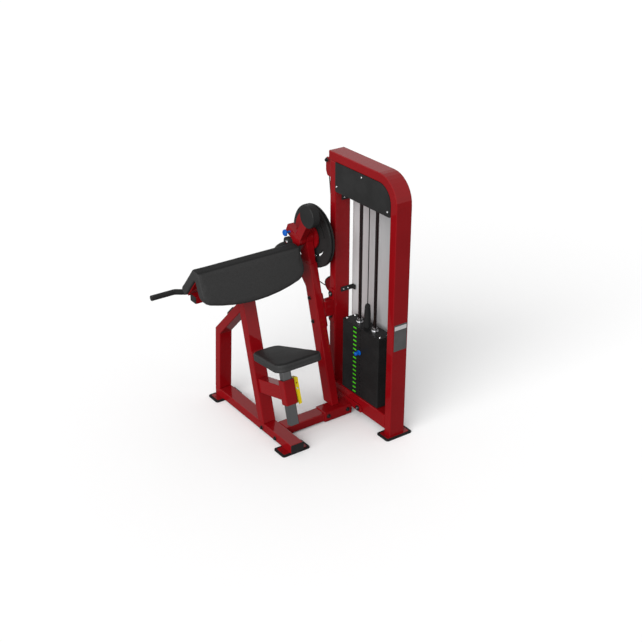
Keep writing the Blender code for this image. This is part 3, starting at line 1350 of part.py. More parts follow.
def arm_pad(body):
    """V-shaped cushion: both legs crowned, the near one with a curved lower edge."""
    half = PAD_LONG / 2
    offsets = [(half, PAD_EDGE)]
    for part in (30.0, 60.0):
        angle = math.radians(part)
        offsets.append((half - PAD_EDGE * (1 - math.cos(angle)), PAD_EDGE * (1 - math.sin(angle))))
    offsets += [(half - PAD_EDGE * 1.02, 0.0), (half - PAD_CORNER * 0.55, 0.0), (half - PAD_CORNER, 0.0)]
    offsets += [(half * share, 0.0) for share in (0.66, 0.44, 0.22)]
    stations = [(-distance, inset) for distance, inset in offsets] + [(0.0, 0.0)]
    stations += [(distance, inset) for distance, inset in reversed(offsets)]
    rings = []
    for offset, inset in stations:
        section = offset_inward(pad_section(offset), inset)
        rings.append([Vector((PAD_X + offset, spot.x, spot.y)) for spot in section])
    piece(skin(rings), "arm_pad", VINYL, body)


# Seat

def seat_box(half_x, half_y, low, high):
    return box((-half_x, -half_y, low), (half_x, half_y, high))


def lever_axis_x():
    """Distance of the lever's pivot from the sleeve's middle."""
    return SLEEVE_SIDE / 2 + 0.002 + LEVER_WIDE / 2


def seat_arm(body):
    """Arm from the pad post back to its sleeve, with a lug and a stud for the lever."""
    half_x, half_y, half_z = SLEEVE_SIDE / 2, SLEEVE_DEEP / 2, SLEEVE_HIGH / 2
    sleeve = round_edges(seat_box(half_x, half_y, -half_z, half_z), TUBE_EDGE, 2)
    reach = (seat_frame().inverted() @ Vector((0.0, PAD_POST_NEAR, RAIL_TOP))).y - GAP
    arm_low = (-SEAT_ARM_WIDE / 2, half_y - 0.006, -SEAT_ARM_DROP - SEAT_ARM_HIGH / 2)
    arm_high = (SEAT_ARM_WIDE / 2, reach, -SEAT_ARM_DROP + SEAT_ARM_HIGH / 2)
    weld(sleeve, round_edges(box(arm_low, arm_high), TUBE_EDGE, 2))
    bore_x, bore_y = half_x - SLEEVE_TUBE, half_y - SLEEVE_TUBE
    cut(sleeve, seat_box(bore_x, bore_y, -half_z - 0.01, half_z + 0.01))
    lug_low = (half_x - 0.001, LEVER_DEEP / 2 + GAP, LEVER_PIVOT_UP - 0.012)
    lug_high = (lever_axis_x() + 0.008, LEVER_DEEP / 2 + GAP + LUG_THICK, LEVER_PIVOT_UP + 0.012)
    weld(sleeve, box(lug_low, lug_high))
    stud = [(lever_axis_x(), y, LEVER_PIVOT_UP) for y in (-LEVER_DEEP / 2 - 0.002, lug_high[1] - 0.002)]
    weld(sleeve, rod(*stud, LEVER_BOLT, 10))
    pin_ends = [(x, 0.0, LEVER_TOP_UP - 0.012) for x in (half_x - 0.010, half_x + 0.010)]
    cut(sleeve, rod(*pin_ends, LEVER_PIN + 0.0025, 10))
    piece(place(sleeve, seat_frame()), "seat_arm", RED, body)


def seat_liner(body):
    """Plastic bush between the sleeve and the sliding post."""
    outer_x = SLEEVE_SIDE / 2 - SLEEVE_TUBE - GAP
    outer_y = SLEEVE_DEEP / 2 - SLEEVE_TUBE - GAP
    inner_x = SEAT_POST_SIDE / 2 + RUNNING_GAP
    inner_y = SEAT_POST_DEEP / 2 + RUNNING_GAP
    half_z = SLEEVE_HIGH / 2
    liner = seat_box(outer_x, outer_y, -half_z + 0.002, half_z - 0.0005)
    cut(liner, seat_box(inner_x, inner_y, -half_z - 0.01, half_z + 0.01))
    pin_ends = [(x, 0.0, LEVER_TOP_UP - 0.012) for x in (inner_x - 0.004, outer_x + 0.004)]
    cut(liner, rod(*pin_ends, LEVER_PIN + 0.0025, 10))
    piece(place(liner, seat_frame()), "seat_liner", BLACK_PLASTIC, body)


def post_bottom():
    return -SLEEVE_HIGH / 2 - SEAT_POST_BELOW


def seat_post(seat):
    """Chromed square post, drilled for the lever's pin, with the cushion's plate on top."""
    half_x, half_y = SEAT_POST_SIDE / 2, SEAT_POST_DEEP / 2
    post = seat_box(half_x, half_y, post_bottom(), post_bottom() + SEAT_POST_LONG)
    round_edges(post, 0.004, 2)
    for number in range(SEAT_HOLE_COUNT):
        level = post_bottom() + 0.060 + number * SEAT_HOLE_STEP
        ends = [(x, 0.0, level) for x in (half_x - 0.008, half_x + 0.01)]
        cut(post, rod(*ends, SEAT_HOLE, 10))
    level = post_bottom() + SEAT_POST_LONG
    wide, deep = SEAT_PLATE_SIDE / 2, SEAT_PLATE_LONG / 2
    outline = rectangle(-wide, -deep, wide, deep, 0.012)
    weld(post, prism(outline, level - WELD_OVERLAP, level + SEAT_PLATE_THICK, "Z"))
    piece(place(post, seat_frame()), "seat_post", CHROME, seat)


def cushion_outline():
    """Seat outline from above: wide at the back, narrow in front, with round corners."""
    half = CUSHION_LONG / 2
    near, far = CUSHION_NEAR_WIDE / 2, CUSHION_FAR_WIDE / 2
    corners = [(-near, -half), (near, -half), (far, half), (-far, half)]
    return rounded([(x, y + CUSHION_SHIFT, CUSHION_CORNER) for x, y in corners], steps=7)


def seat_cushion(seat):
    """Crowned cushion whose side pulls in between its seams."""
    bottom = post_bottom() + SEAT_POST_LONG + SEAT_PLATE_THICK + 2 * GAP
    thick = CUSHION_THICK - CUSHION_CROWN
    outline = cushion_outline()
    levels = [(0.010, 0.0), (0.002, 0.003), (0.0, 0.010), (0.002, thick * 0.5), (0.0, thick - 0.010)]
    levels += [(0.003, thick - 0.003), (0.010, thick)]
    rings = []
    for inset, height in levels:
        ring = offset_inward(outline, inset)
        rings.append([Vector((spot.x, spot.y, bottom + height)) for spot in ring])
    centre = Vector((0.0, CUSHION_SHIFT))
    for share in (0.72, 0.44, 0.16):
        height = bottom + thick + CUSHION_CROWN * (1 - share ** 2)
        flat = [centre + (spot - centre) * share for spot in offset_inward(outline, 0.010)]
        rings.append([Vector((spot.x, spot.y, height)) for spot in flat])
    piece(place(skin(rings), seat_frame()), "seat_cushion", VINYL, seat)


def seat_lever(lever):
    """Yellow squeeze lever on the sleeve's right side; its pin points at the post."""
    low_x = SLEEVE_SIDE / 2 + 0.002
    high_x = low_x + LEVER_WIDE
    top, bottom = LEVER_TOP_UP, LEVER_TOP_UP - LEVER_LONG
    outline = rounded([
        (low_x, top, 0.003), (low_x, LEVER_PIVOT_UP - 0.010, 0), (low_x + LEVER_FLARE, bottom, 0.003),
        (high_x + 0.003, bottom, 0.006), (high_x, LEVER_PIVOT_UP, 0), (high_x, top, 0.006)], steps=2)
    solid = prism([(x, z) for x, z in outline], -LEVER_DEEP / 2, LEVER_DEEP / 2, "Y")
    hollow_low = (low_x + 0.006, -LEVER_DEEP / 2 + 0.004, bottom - 0.02)
    hollow_high = (high_x - 0.004, LEVER_DEEP / 2 - 0.004, LEVER_PIVOT_UP - 0.020)
    cut(solid, box(hollow_low, hollow_high))
    pin = [(x, 0.0, LEVER_TOP_UP - 0.012) for x in (SEAT_POST_SIDE / 2 + 0.0008, low_x + 0.004)]
    weld(solid, rod(*pin, LEVER_PIN, 10))
    hole = [(lever_axis_x(), y, LEVER_PIVOT_UP) for y in (-LEVER_DEEP, LEVER_DEEP)]
    cut(solid, rod(*hole, LEVER_BOLT + GAP, 10))
    piece(place(solid, seat_frame()), "seat_lever", YELLOW, lever)


def main():
    clear_scene()
    frame = empty_at("frame", (-MIDDLE_X, -MIDDLE_Y, 0.0))
    body = empty_at("static", (0.0, 0.0, 0.0), frame)
    pivot = about_pivot((0.0, 0.0), CAM_X)
    cam = empty_at("cam_axis", pivot, frame)
    arm = empty_at("arm_axis", pivot, frame)
    pop = empty_at("pop_pin_axis", about_pivot(polar(POP_PIN_REACH, INDEX_ARM_ANGLE), ARM_LOW_X), frame)
    lifted = empty_at("stack_axis", (TOWER_X, STACK_Y, STACK_TOP), frame)
    pin = empty_at("pin_axis", (TOWER_X - PLATE_WIDE / 2, STACK_Y, pin_level(SELECTED_PLATE)), frame)
    seat = empty_at("seat_axis", seat_frame().translation, frame)
    lever = empty_at("lever_axis", seat_frame() @ Vector((lever_axis_x(), 0.0, LEVER_PIVOT_UP)), frame)
    wheels = {}
    for name, (centre, _) in pulley_places().items():
        wheels[name] = empty_at(f"{name}_pulley_axis", centre, frame)

    for build in (tower_hoop, far_upright, tower_base_beam, foot_pads, cover_panel, rear_shroud, shroud_tabs):
        build(body)
    for build in (guide_rods, rod_top_bar, stack_pulley_bracket, upper_pulley_bracket, lower_pulley_bracket):
        build(body)
    for build in (guide_pulley_bracket, cable_run, cable_stack_stretch, bearing_housing, arm_post):
        build(body)
    for build in (connecting_block, base_rail, tube_end_caps, cross_beam, cross_sleeve, pad_post):
        build(body)
    for build in (front_leg, leg_bumper, pad_frame, arm_pad, seat_arm, seat_liner):
        build(body)
    weight_plates(body, lifted)
    for build in (rod_collars, selector_stem, cable_boot):
        build(lifted)
    selector_pin(pin)
    pulleys(wheels)
    for build in (cam_cable, cam_wheel, index_plate, pivot_shaft):
        build(cam)
    for build in (movement_arm, counterweight, handle_bar):
        build(arm)
    pop_pin(pop)
    for build in (seat_post, seat_cushion):
        build(seat)
    seat_lever(lever)


main()
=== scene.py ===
# %% [markdown]
# # Dressing the arm machine
# The imported solids already stand in place, in metres. This lesson gives each
# of them a finish, adds the bolts, screws and marks that are too small for
# the solids, and replaces the two plain cushions with stuffed ones.
# The first cell loads the solids.

# %% Load the solids
import json
import math

import bmesh
import bpy
from mathutils import Matrix, Vector


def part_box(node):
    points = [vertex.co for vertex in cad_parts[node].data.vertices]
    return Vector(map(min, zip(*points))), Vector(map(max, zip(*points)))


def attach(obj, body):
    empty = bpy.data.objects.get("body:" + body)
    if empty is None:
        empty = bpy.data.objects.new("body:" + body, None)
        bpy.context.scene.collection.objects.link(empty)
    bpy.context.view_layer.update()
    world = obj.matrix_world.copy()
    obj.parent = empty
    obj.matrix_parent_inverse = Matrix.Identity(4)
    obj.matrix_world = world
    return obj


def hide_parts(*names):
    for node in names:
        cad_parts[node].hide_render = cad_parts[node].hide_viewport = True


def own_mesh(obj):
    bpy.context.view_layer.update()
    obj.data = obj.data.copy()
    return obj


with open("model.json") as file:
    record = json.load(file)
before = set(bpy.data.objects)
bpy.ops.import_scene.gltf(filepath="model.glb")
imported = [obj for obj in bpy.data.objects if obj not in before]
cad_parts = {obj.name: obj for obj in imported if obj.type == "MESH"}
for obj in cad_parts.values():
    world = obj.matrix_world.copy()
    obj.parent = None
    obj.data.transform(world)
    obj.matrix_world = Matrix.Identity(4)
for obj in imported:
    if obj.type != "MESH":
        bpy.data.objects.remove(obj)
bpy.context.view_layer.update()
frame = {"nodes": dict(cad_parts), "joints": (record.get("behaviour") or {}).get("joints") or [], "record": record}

# %% [markdown]
# ## One measure for small parts
# The machine was drawn in millimetres from one corner of its weight tower:
# X runs along the machine's length from the tower's open face, Y goes away
# from the near upright, and Z is the height above the floor. Small parts are
# easier to place in that measure, so one function turns it into metres.

# %% Tower measure
MM_IN_METRE = 1000
TOWER_CORNER = Vector((0.407, -0.480, 0.0))


def at(x, y, z):
    """A point given in millimetres from the tower's near corner, in metres."""
    return TOWER_CORNER + Vector((x, y, z)) / MM_IN_METRE


LEFT = Vector((-1, 0, 0))
NEAR = Vector((0, -1, 0))
UP = Vector((0, 0, 1))
print("near foot of the tower:", at(0, 0, 0))

# %% [markdown]
# ## Writing shader maths as Python
# A finish is a web of nodes, and a web is hard to read in code. A small class
# holds one output of a node and gives it plus, minus and times, so a mask can
# be written as `1 - mask`. Each operator adds one Math node.

# %% Value
class Value:
    """One output of a shader node, with the operators of ordinary numbers."""

    def __init__(self, finish, socket):
        self.finish = finish
        self.socket = socket

    def maths(self, operation, *terms):
        return self.finish.node(
            "ShaderNodeMath", {"operation": operation}, dict(enumerate(terms))
        )

    def __add__(self, other):
        return self.maths("ADD", self, other)

    __radd__ = __add__

    def __sub__(self, other):
        return self.maths("SUBTRACT", self, other)

    def __rsub__(self, other):
        return self.maths("SUBTRACT", other, self)

    def __mul__(self, other):
        return self.maths("MULTIPLY", self, other)

    __rmul__ = __mul__

    def band(self, low, high):
        """0 below low, 1 above high, and a smooth slope between them."""
        return self.finish.node(
            "ShaderNodeMapRange",
            {"interpolation_type": "SMOOTHSTEP"},
            {"Value": self, "From Min": low, "From Max": high},
        )


print("operators ready: plus, minus, times")

# %% [markdown]
# ## One class for every finish
# Each finish is a material with one surface shader. A single method adds any
# other node: it takes the node's type, its settings and what its sockets
# hold, and gives back the output that is wanted. The rest are short names for
# nodes that most finishes share, such as noise, a bevelled normal and a bump.
# Colours must not go through Math, which turns them grey, so they have their
# own method that mixes two of them.

# %% Finish
class Finish:
    """A material: one surface shader, and a method for any other node."""

    def __init__(self, name, **fixed):
        self.material = bpy.data.materials.new(name)
        self.material.use_nodes = True
        self.tree = self.material.node_tree
        self.shader = self.tree.nodes["Principled BSDF"]
        self.surface(**fixed)

    def node(self, kind, settings=None, sockets=None, output=0):
        made = self.tree.nodes.new(kind)
        for name, value in (settings or {}).items():
            setattr(made, name, value)
        self.feed(made, sockets or {})
        return Value(self, made.outputs[output])

    def feed(self, made, sockets):
        for name, value in sockets.items():
            if isinstance(value, Value):
                self.tree.links.new(value.socket, made.inputs[name])
            else:
                made.inputs[name].default_value = value

    def surface(self, **sockets):
        """Feeds the shader: base_color goes to Base Color, and so on."""
        self.feed(
            self.shader,
            {name.replace("_", " ").title().replace("Ior", "IOR"): value
             for name, value in sockets.items()},
        )

    def mix(self, share, first, second):
        return self.node(
            "ShaderNodeMix", {"data_type": "RGBA"},
            {0: share, 6: first, 7: second}, 2,
        )

    def place(self):
        return self.node("ShaderNodeTexCoord", output="Object")

    def noise(self, scale, detail, roughness=0.5, stretch=(1, 1, 1)):
        spot = self.node(
            "ShaderNodeMapping", {}, {"Vector": self.place(), "Scale": stretch}
        )
        return self.node(
            "ShaderNodeTexNoise", {},
            {"Vector": spot, "Scale": scale, "Detail": detail,
             "Roughness": roughness},
        )

    def cells(self, scale):
        return self.node(
            "ShaderNodeTexVoronoi", {"feature": "SMOOTH_F1"},
            {"Vector": self.place(), "Scale": scale, "Smoothness": 0.35},
        )

    def soft_edge(self, radius):
        """The surface's normal, turned a little round each sharp edge."""
        return self.node(
            "ShaderNodeBevel", {"samples": 4}, {"Radius": radius}
        )

    def likeness(self, first, second):
        """1 where two directions are the same, and 0 where they are square."""
        return self.node(
            "ShaderNodeVectorMath", {"operation": "DOT_PRODUCT"},
            {0: first, 1: second}, "Value",
        )

    def flat_normal(self):
        return self.node("ShaderNodeNewGeometry", output="Normal")

    def rubbed(self, radius):
        """A mask that is 0 on flat faces and rises along sharp edges."""
        flat = self.flat_normal()
        alike = self.likeness(self.soft_edge(radius), flat)
        return (1 - alike).band(0.01, 0.25)

    def bump(self, height, distance, strength, normal=None):
        sockets = {
            "Height": height, "Distance": distance, "Strength": strength
        }
        if normal:
            sockets["Normal"] = normal
        return self.node("ShaderNodeBump", {}, sockets)


print("finish class ready")

# %% [markdown]
# ## Greys and shades
# Most of the machine is black or grey, and every finish also needs a shade of
# its own colour for its worn, dusty or dull places. Two small functions write
# both.

# %% Greys and shades
def grey(level):
    return (level, level, level, 1)


def shade(colour, gain, lift=0.0):
    """The same colour made stronger or weaker, and then a little paler."""
    return tuple(min(1, gain * c + lift) for c in colour[:3]) + (1,)


print("middle grey:", grey(0.18), "dulled:", shade(grey(0.18), 0.8))

# %% [markdown]
# ## Red powder coat
# Nearly every tube wears the same glossy deep red. Powder coat is a baked
# skin: its colour is even, it has a faint orange-peel ripple, and it shines
# through a thin clear top. A coat layer over a fairly dull base gives that
# look, and a bevel in the normal catches the light along each tube's edge.
# The handle bar, the counterweight and the small brackets wear the same kind
# of skin in black, with hardly any clear top.

# %% Painted tubes
TUBE_EDGE = 0.0018
TUBE_WEAR_AND_HIGHLIGHT = 0.0022
CLOUD_SCALE = 7
PEEL_SCALE = 260


def painted(name, deep, light, roughness, coat, ripple=0.00006):
    """A sprayed or baked paint: even colour, orange peel, and paler edges,
    partly wear and partly a painted highlight.
    """
    paint = Finish(
        name, coat_weight=coat, coat_roughness=0.03, specular_ior_level=0.02
    )
    clouds = paint.noise(CLOUD_SCALE, 3).band(0.3, 0.7)
    # Paler edges: partly wear, partly a painted highlight along each edge.
    wear_and_highlight = paint.rubbed(TUBE_WEAR_AND_HIGHLIGHT)
    body = paint.mix(clouds, deep, light)
    paler = shade(light, 1.5, 0.02)
    peel = paint.noise(PEEL_SCALE, 2)
    edge = paint.soft_edge(TUBE_EDGE)
    paint.surface(
        base_color=paint.mix(wear_and_highlight * 0.5, body, paler),
        roughness=roughness + 0.06 * peel,
        normal=paint.bump(peel, ripple, 0.25, edge),
    )
    return paint.material


RED_DEEP = (0.196, 0.0022, 0.0042, 1)
RED_LIGHT = (0.212, 0.0028, 0.0050, 1)
red_paint = painted(
    "red_paint", RED_DEEP, RED_LIGHT, roughness=0.35, coat=0.42
)
black_paint = painted(
    "black_paint", grey(0.018), grey(0.023), roughness=0.45, coat=0.06,
    ripple=0.00004,
)
print("paints:", red_paint.name, black_paint.name)

# %% [markdown]
# ## Rubber, plastic and iron
# The feet, the bumpers and the cable's boot are dull rubber with a fine
# pitted skin. The cam, the pulleys and the cover are moulded black with a
# closer, smoother grain. The weight plates are cast, so their skin is rougher
# and their edges show more wear. One function makes all of these, the
# cable's jacket and the black bolts too: only the colour, the grain's size
# and depth, the wear and the shine differ.

# %% Grained surfaces
GRAINED_EDGE = 0.0014
GRAINED_WEAR = 0.0016
PATCH_SCALE = 11


def grained(name, colour, roughness, grain, depth, wear=0.25, shine=0.08):
    """A moulded or cast surface: fine pits and a little dust on edges."""
    skin = Finish(name, specular_ior_level=shine)
    pits = skin.noise(grain, 4, 0.6)
    patches = skin.noise(PATCH_SCALE, 2).band(0.35, 0.7)
    paler_tone = shade(colour, 1.35, 0.004)
    share = patches * 0.45 + skin.rubbed(GRAINED_WEAR) * wear
    edge = skin.soft_edge(GRAINED_EDGE)
    skin.surface(
        base_color=skin.mix(share, colour, paler_tone),
        roughness=roughness + 0.16 * (pits - 0.5),
        normal=skin.bump(pits, depth, 0.6, edge),
    )
    return skin.material


black_rubber = grained(
    "black_rubber", grey(0.013), roughness=0.75, grain=900, depth=0.0002
)
black_plastic = grained(
    "black_plastic", grey(0.018), roughness=0.45, grain=700, depth=0.00005
)
black_iron = grained(
    "black_iron", grey(0.011), roughness=0.42, grain=380, depth=0.00012,
    wear=0.8,
)
cable_jacket = grained(
    "cable_jacket", grey(0.012), roughness=0.35, grain=1200, depth=0.00003
)
bolt_black = grained(
    "bolt_black", grey(0.005), roughness=0.30, grain=900, depth=0.00001,
    wear=0.3, shine=0.3,
)
print("blacks:", black_rubber.name, black_plastic.name, black_iron.name)

# %% [markdown]
# ## Knobs, lever and marks
# What a user has to find by eye is coloured: both pull pins are blue, the
# seat's lever is yellow, and the marks beside the plates are green. They are
# smooth and clean, so they take a very shallow grain and little wear.

# %% Coloured surfaces
CLEAN = {"depth": 0.00002, "wear": 0.1}
blue_plastic = grained(
    "blue_plastic", (0.002, 0.085, 0.40, 1), roughness=0.35, grain=600,
    shine=0.15, **CLEAN,
)
yellow_plastic = grained(
    "yellow_plastic", (0.62, 0.47, 0.008, 1), roughness=0.35, grain=600,
    shine=0.15, **CLEAN,
)
green_paint = grained(
    "green_paint", (0.060, 0.46, 0.008, 1), roughness=0.5, grain=500, **CLEAN
)
print("colours:", blue_plastic.name, yellow_plastic.name, green_paint.name)

# %% [markdown]
# ## Metal
# Chrome is a mirror with a very faint haze left by polishing round the rod.
# The guide rods and the seat post have the same polish, but each is given a
# much darker colour of its own, a painted dark reflection, so each takes the
# same nodes with its own colour. Screws and collars are zinc plated and
# duller. The shroud behind the weights is a sheet in silver paint, one quarter
# metal and the rest paint, so it takes soft upright bands of light instead of
# clear pictures.

# %% Chrome, zinc and silver sheet
POLISHED_EDGE = 0.001
SCRATCH_DEPTH = 0.00002


def metal(name, colour, roughness, scratch, stretch, share=1.0):
    """Bare or plated metal with fine polishing lines along one direction."""
    plate = Finish(name, metallic=share)
    lines = plate.noise(scratch, 3, 0.6, stretch)
    dull = shade(colour, 0.8)
    edge = plate.soft_edge(POLISHED_EDGE)
    plate.surface(
        base_color=plate.mix(lines.band(0.35, 0.75) * 0.5, colour, dull),
        roughness=roughness + 0.10 * lines,
        normal=plate.bump(lines, SCRATCH_DEPTH, 0.3, edge),
    )
    return plate.material


POLISHED = {"scratch": 160, "stretch": (0.2, 0.2, 6)}
chrome = metal("chrome", (0.62, 0.625, 0.63, 1), roughness=0.05, **POLISHED)
# The post and the rods get colours darker than their metal: a painted dark reflection.
post_chrome_painted_reflection = metal(
    "post_chrome_painted_reflection", (0.26, 0.26, 0.265, 1), roughness=0.05, **POLISHED
)
rod_steel_painted_reflection = metal(
    "rod_steel_painted_reflection", (0.075, 0.060, 0.060, 1), roughness=0.10, **POLISHED
)
bright_steel = metal(
    "bright_steel", (0.55, 0.55, 0.56, 1), roughness=0.22, scratch=300,
    stretch=(1, 1, 1),
)
grey_shroud = metal(
    "grey_shroud", (0.54, 0.545, 0.55, 1), roughness=0.42, scratch=60,
    stretch=(6, 6, 0.15), share=0.25,
)
print("metals:", chrome.name, post_chrome_painted_reflection.name, rod_steel_painted_reflection.name,
      bright_steel.name, grey_shroud.name)

# %% [markdown]
# ## Upholstery vinyl
# Gym vinyl is pressed with a fine leather grain: rounded cells with narrow
# valleys, a little over a millimetre across. Smooth Voronoi cells give the
# grain, and a slower noise makes the shine uneven, as it is where arms and
# legs have rubbed. Faces that look up get a painted shade, darker than the
# hanging ones, which get a paler painted light, so a mask follows how far
# each face looks up.

# %% Vinyl
GRAIN_SCALE = 620
FLECK_SCALE = 340
RUB_SCALE = 6
GRAIN_DEPTH = 0.0002


def vinyl_skin():
    vinyl = Finish("black_vinyl", specular_ior_level=0.06)
    grain = vinyl.cells(GRAIN_SCALE)
    flecks = vinyl.noise(FLECK_SCALE, 3, 0.7)
    rubbed = vinyl.noise(RUB_SCALE, 2).band(0.35, 0.7)
    speckle = flecks.band(0.32, 0.68)
    # Painted light and shade: hanging faces take a paler tone, faces that look up a darker one.
    paler_tone = vinyl.mix(speckle, grey(0.028), grey(0.045))
    tops_painted_darker = vinyl.mix(speckle, grey(0.010), grey(0.017))
    painted_top_shade = vinyl.likeness(vinyl.flat_normal(), tuple(UP)).band(0.70, 0.95)
    skin = vinyl.mix(painted_top_shade, paler_tone, tops_painted_darker)
    vinyl.surface(
        base_color=vinyl.mix(grain.band(0.2, 0.9) * 0.4, skin, grey(0.015)),
        roughness=0.46 + 0.10 * grain - 0.05 * rubbed,
        normal=vinyl.bump(grain + 0.4 * flecks, GRAIN_DEPTH, 0.4),
    )
    return vinyl.material


black_vinyl = vinyl_skin()
print("upholstery:", black_vinyl.name)

# %% [markdown]
# ## Every solid gets its finish
# The record names one material slot for each solid, and most finishes above
# carry a slot's name. So one loop dresses the whole machine, and a short list
# then gives six solids another finish, which suits them better.

# %% Dress the solids
FINISHES = {
    "red_paint": red_paint, "black_paint": black_paint,
    "black_rubber": black_rubber, "black_plastic": black_plastic,
    "black_iron": black_iron, "cable_jacket": cable_jacket,
    "blue_plastic": blue_plastic, "yellow_plastic": yellow_plastic,
    "chrome": chrome, "bright_steel": bright_steel,
    "grey_shroud": grey_shroud, "black_vinyl": black_vinyl,
}
OWN_FINISHES = {
    "near_guide_rod": rod_steel_painted_reflection, "far_guide_rod": rod_steel_painted_reflection,
    "seat_post": post_chrome_painted_reflection, "pivot_shaft": red_paint,
    "near_rod_collar": bright_steel, "far_rod_collar": bright_steel,
}


def dress(thing, material):
    if not thing.material_slots:
        thing.data.materials.append(material)
    for place in thing.material_slots:
        place.material = material


for row in frame["record"]["subparts"]:
    dress(frame["nodes"][row["node"]], FINISHES[row["material_slot"]])
for node, material in OWN_FINISHES.items():
    dress(frame["nodes"][node], material)

# %% [markdown]
# ## From points to a shown piece
# Every small piece below is built as a loose mesh and then has to become an
# object. Its normals are put right, its faces are shaded smooth up to its
# sharp edges, and it is told which body it rides on, so that it moves with
# that body in every pose.

# %% Finished pieces
SHARP_ANGLE = math.radians(35)


def stood(name, form):
    """Makes an object from a bmesh and puts it in the scene."""
    mesh = bpy.data.meshes.new(name)
    form.to_mesh(mesh)
    form.free()
    piece = bpy.data.objects.new(name, mesh)
    bpy.context.scene.collection.objects.link(piece)
    return piece


def finished(name, form, material, body):
    """Turns a bmesh into a shown piece that rides on a body."""
    bmesh.ops.recalc_face_normals(form, faces=form.faces)
    for face in form.faces:
        face.smooth = True
    for edge in form.edges:
        if len(edge.link_faces) == 2:
            edge.smooth = edge.calc_face_angle(0) < SHARP_ANGLE
    piece = stood(name, form)
    dress(piece, material)
    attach(piece, body)
    return piece


print("edges stay sharp from", round(math.degrees(SHARP_ANGLE)), "degrees")

# %% [markdown]
# ## Turned parts
# A flanged bolt, a screw and a washer are all turned shapes: a profile that
# goes round an axis. The head of a bolt is a turned shape too, with a radius
# that changes with the angle to make six flats. So one function turns them
# all: it makes a ring of points for each row of a profile, and joins each
# ring to the next with faces.

# %% Turning
RING_POINTS = 48
HEX = "hex"


def hexagon(angle):
    """The radius of a hexagon with flats one unit from its middle."""
    third = math.pi / 3
    return 1 / math.cos((angle % third) - third / 2)


def joined(form, rings):
    """Walls from each ring of points to the next, and a cap at both ends."""
    count = len(rings[0])
    for low, high in zip(rings, rings[1:]):
        for step in range(count):
            after = (step + 1) % count
            form.faces.new((low[step], low[after], high[after], high[step]))
    form.faces.new(list(reversed(rings[0])))
    form.faces.new(rings[-1])


def turned(name, profile, seat, facing, coat, body):
    """A closed turned solid. A row holds radius and height in mm, and HEX
    where the ring has six flats."""
    form = bmesh.new()
    rings = []
    for radius, height, *flats in profile:
        ring = []
        for step in range(RING_POINTS):
            angle = math.tau * step / RING_POINTS
            reach = radius * (hexagon(angle) if flats else 1) / MM_IN_METRE
            ring.append(form.verts.new((
                reach * math.cos(angle), reach * math.sin(angle),
                height / MM_IN_METRE,
            )))
        rings.append(ring)
    joined(form, rings)
    turn = UP.rotation_difference(Vector(facing).normalized()).to_matrix()
    bmesh.ops.transform(
        form, matrix=Matrix.Translation(seat) @ turn.to_4x4(), verts=form.verts
    )
    material, slot = coat
    finished(name, form, material, body)


print("points round each turned part:", RING_POINTS)

# %% [markdown]
# ## Bolts, screws, washers and rings
# Four profiles make every fastener. Frame joints have black bolts with a wide
# flange under six flats. Button screws have a domed head with a six-sided
# recess. A plain washer lies under the screw that holds the bar, and a thick
# ring stands round each bolt of the two plates against the tower. Each
# profile is a list of rows, from the seat outwards.

# %% Fastener profiles
def flanged_bolt(flange, flats, height):
    return [
        (flange * 0.97, 0), (flange, 0.5),
        (flange, 1.8), (flange * 0.9, 2.6),
        (flats * 1.22, 3.0), (flats, 3.2, HEX),
        (flats, height - 1.0, HEX), (flats * 0.93, height),
        (flats * 0.45, height + 0.1), (flats * 0.40, height - 0.5),
    ]


def button_screw(radius, height):
    return [
        (radius, 0), (radius, height * 0.35),
        (radius * 0.88, height * 0.75), (radius * 0.66, height),
        (radius * 0.52, height, HEX), (radius * 0.50, height * 0.45, HEX),
        (radius * 0.20, height * 0.35),
    ]


def plain_washer(radius, thick, hole):
    return [
        (radius * 0.95, 0), (radius, 0.3),
        (radius, thick - 0.3), (radius * 0.95, thick),
        (hole, thick), (hole * 0.96, thick - 0.6),
    ]


def thick_ring(radius, thick, hole):
    return [
        (radius * 0.93, 0), (radius, 1.4),
        (radius, thick - 2.0), (radius * 0.88, thick),
        (hole * 1.15, thick), (hole, thick - 1.2), (hole * 0.98, 1.2),
    ]


BLACK = (bolt_black, "black_paint")
BRIGHT = (bright_steel, "bright_steel")
MIRROR = (chrome, "chrome")
RED = (red_paint, "red_paint")
YELLOW = (yellow_plastic, "yellow_plastic")
print("fastener profiles: bolt, screw, washer and ring")

# %% [markdown]
# ## Bolts of the frame
# The base rail, the cross beam's sleeve, the arm post and the upper bracket
# have flanged bolts. The sleeve and the connecting block each end in a plate
# against the tower, and there a small bright bolt sits inside a black ring.
# Two tables say where they stand, and the first one also which way they face.

# %% Frame bolts
FRAME_BOLT = flanged_bolt(flange=12.5, flats=7.6, height=10)
FRAME_BOLTS = {
    "rail_bolt_near": ((-534, 332, 27), LEFT),
    "rail_bolt_far": ((-534, 468, 27), LEFT),
    "sleeve_bolt_left": ((-170, 339, 38), NEAR),
    "sleeve_bolt_right": ((-38, 339, 38), NEAR),
    "post_bolt_upper": ((-120, 595, 661), LEFT),
    "post_bolt_lower": ((-120, 561, 529), LEFT),
    "upper_bracket_bolt": ((20, 630, 1429), LEFT),
}
BOLT_RING = thick_ring(radius=15.5, thick=7.5, hole=9.2)
RING_BOLT = flanged_bolt(flange=7.6, flats=5.4, height=7.0)
RING_FLOOR = 0.0013
END_PLATE_FACE = -8.3
RING_BOLTS = {
    "base_flange_bolt_near": (END_PLATE_FACE, 283, 64),
    "base_flange_bolt_far": (END_PLATE_FACE, 497, 64),
    "block_bolt_upper": (END_PLATE_FACE, 549, 675),
    "block_bolt_lower": (END_PLATE_FACE, 549, 541),
}

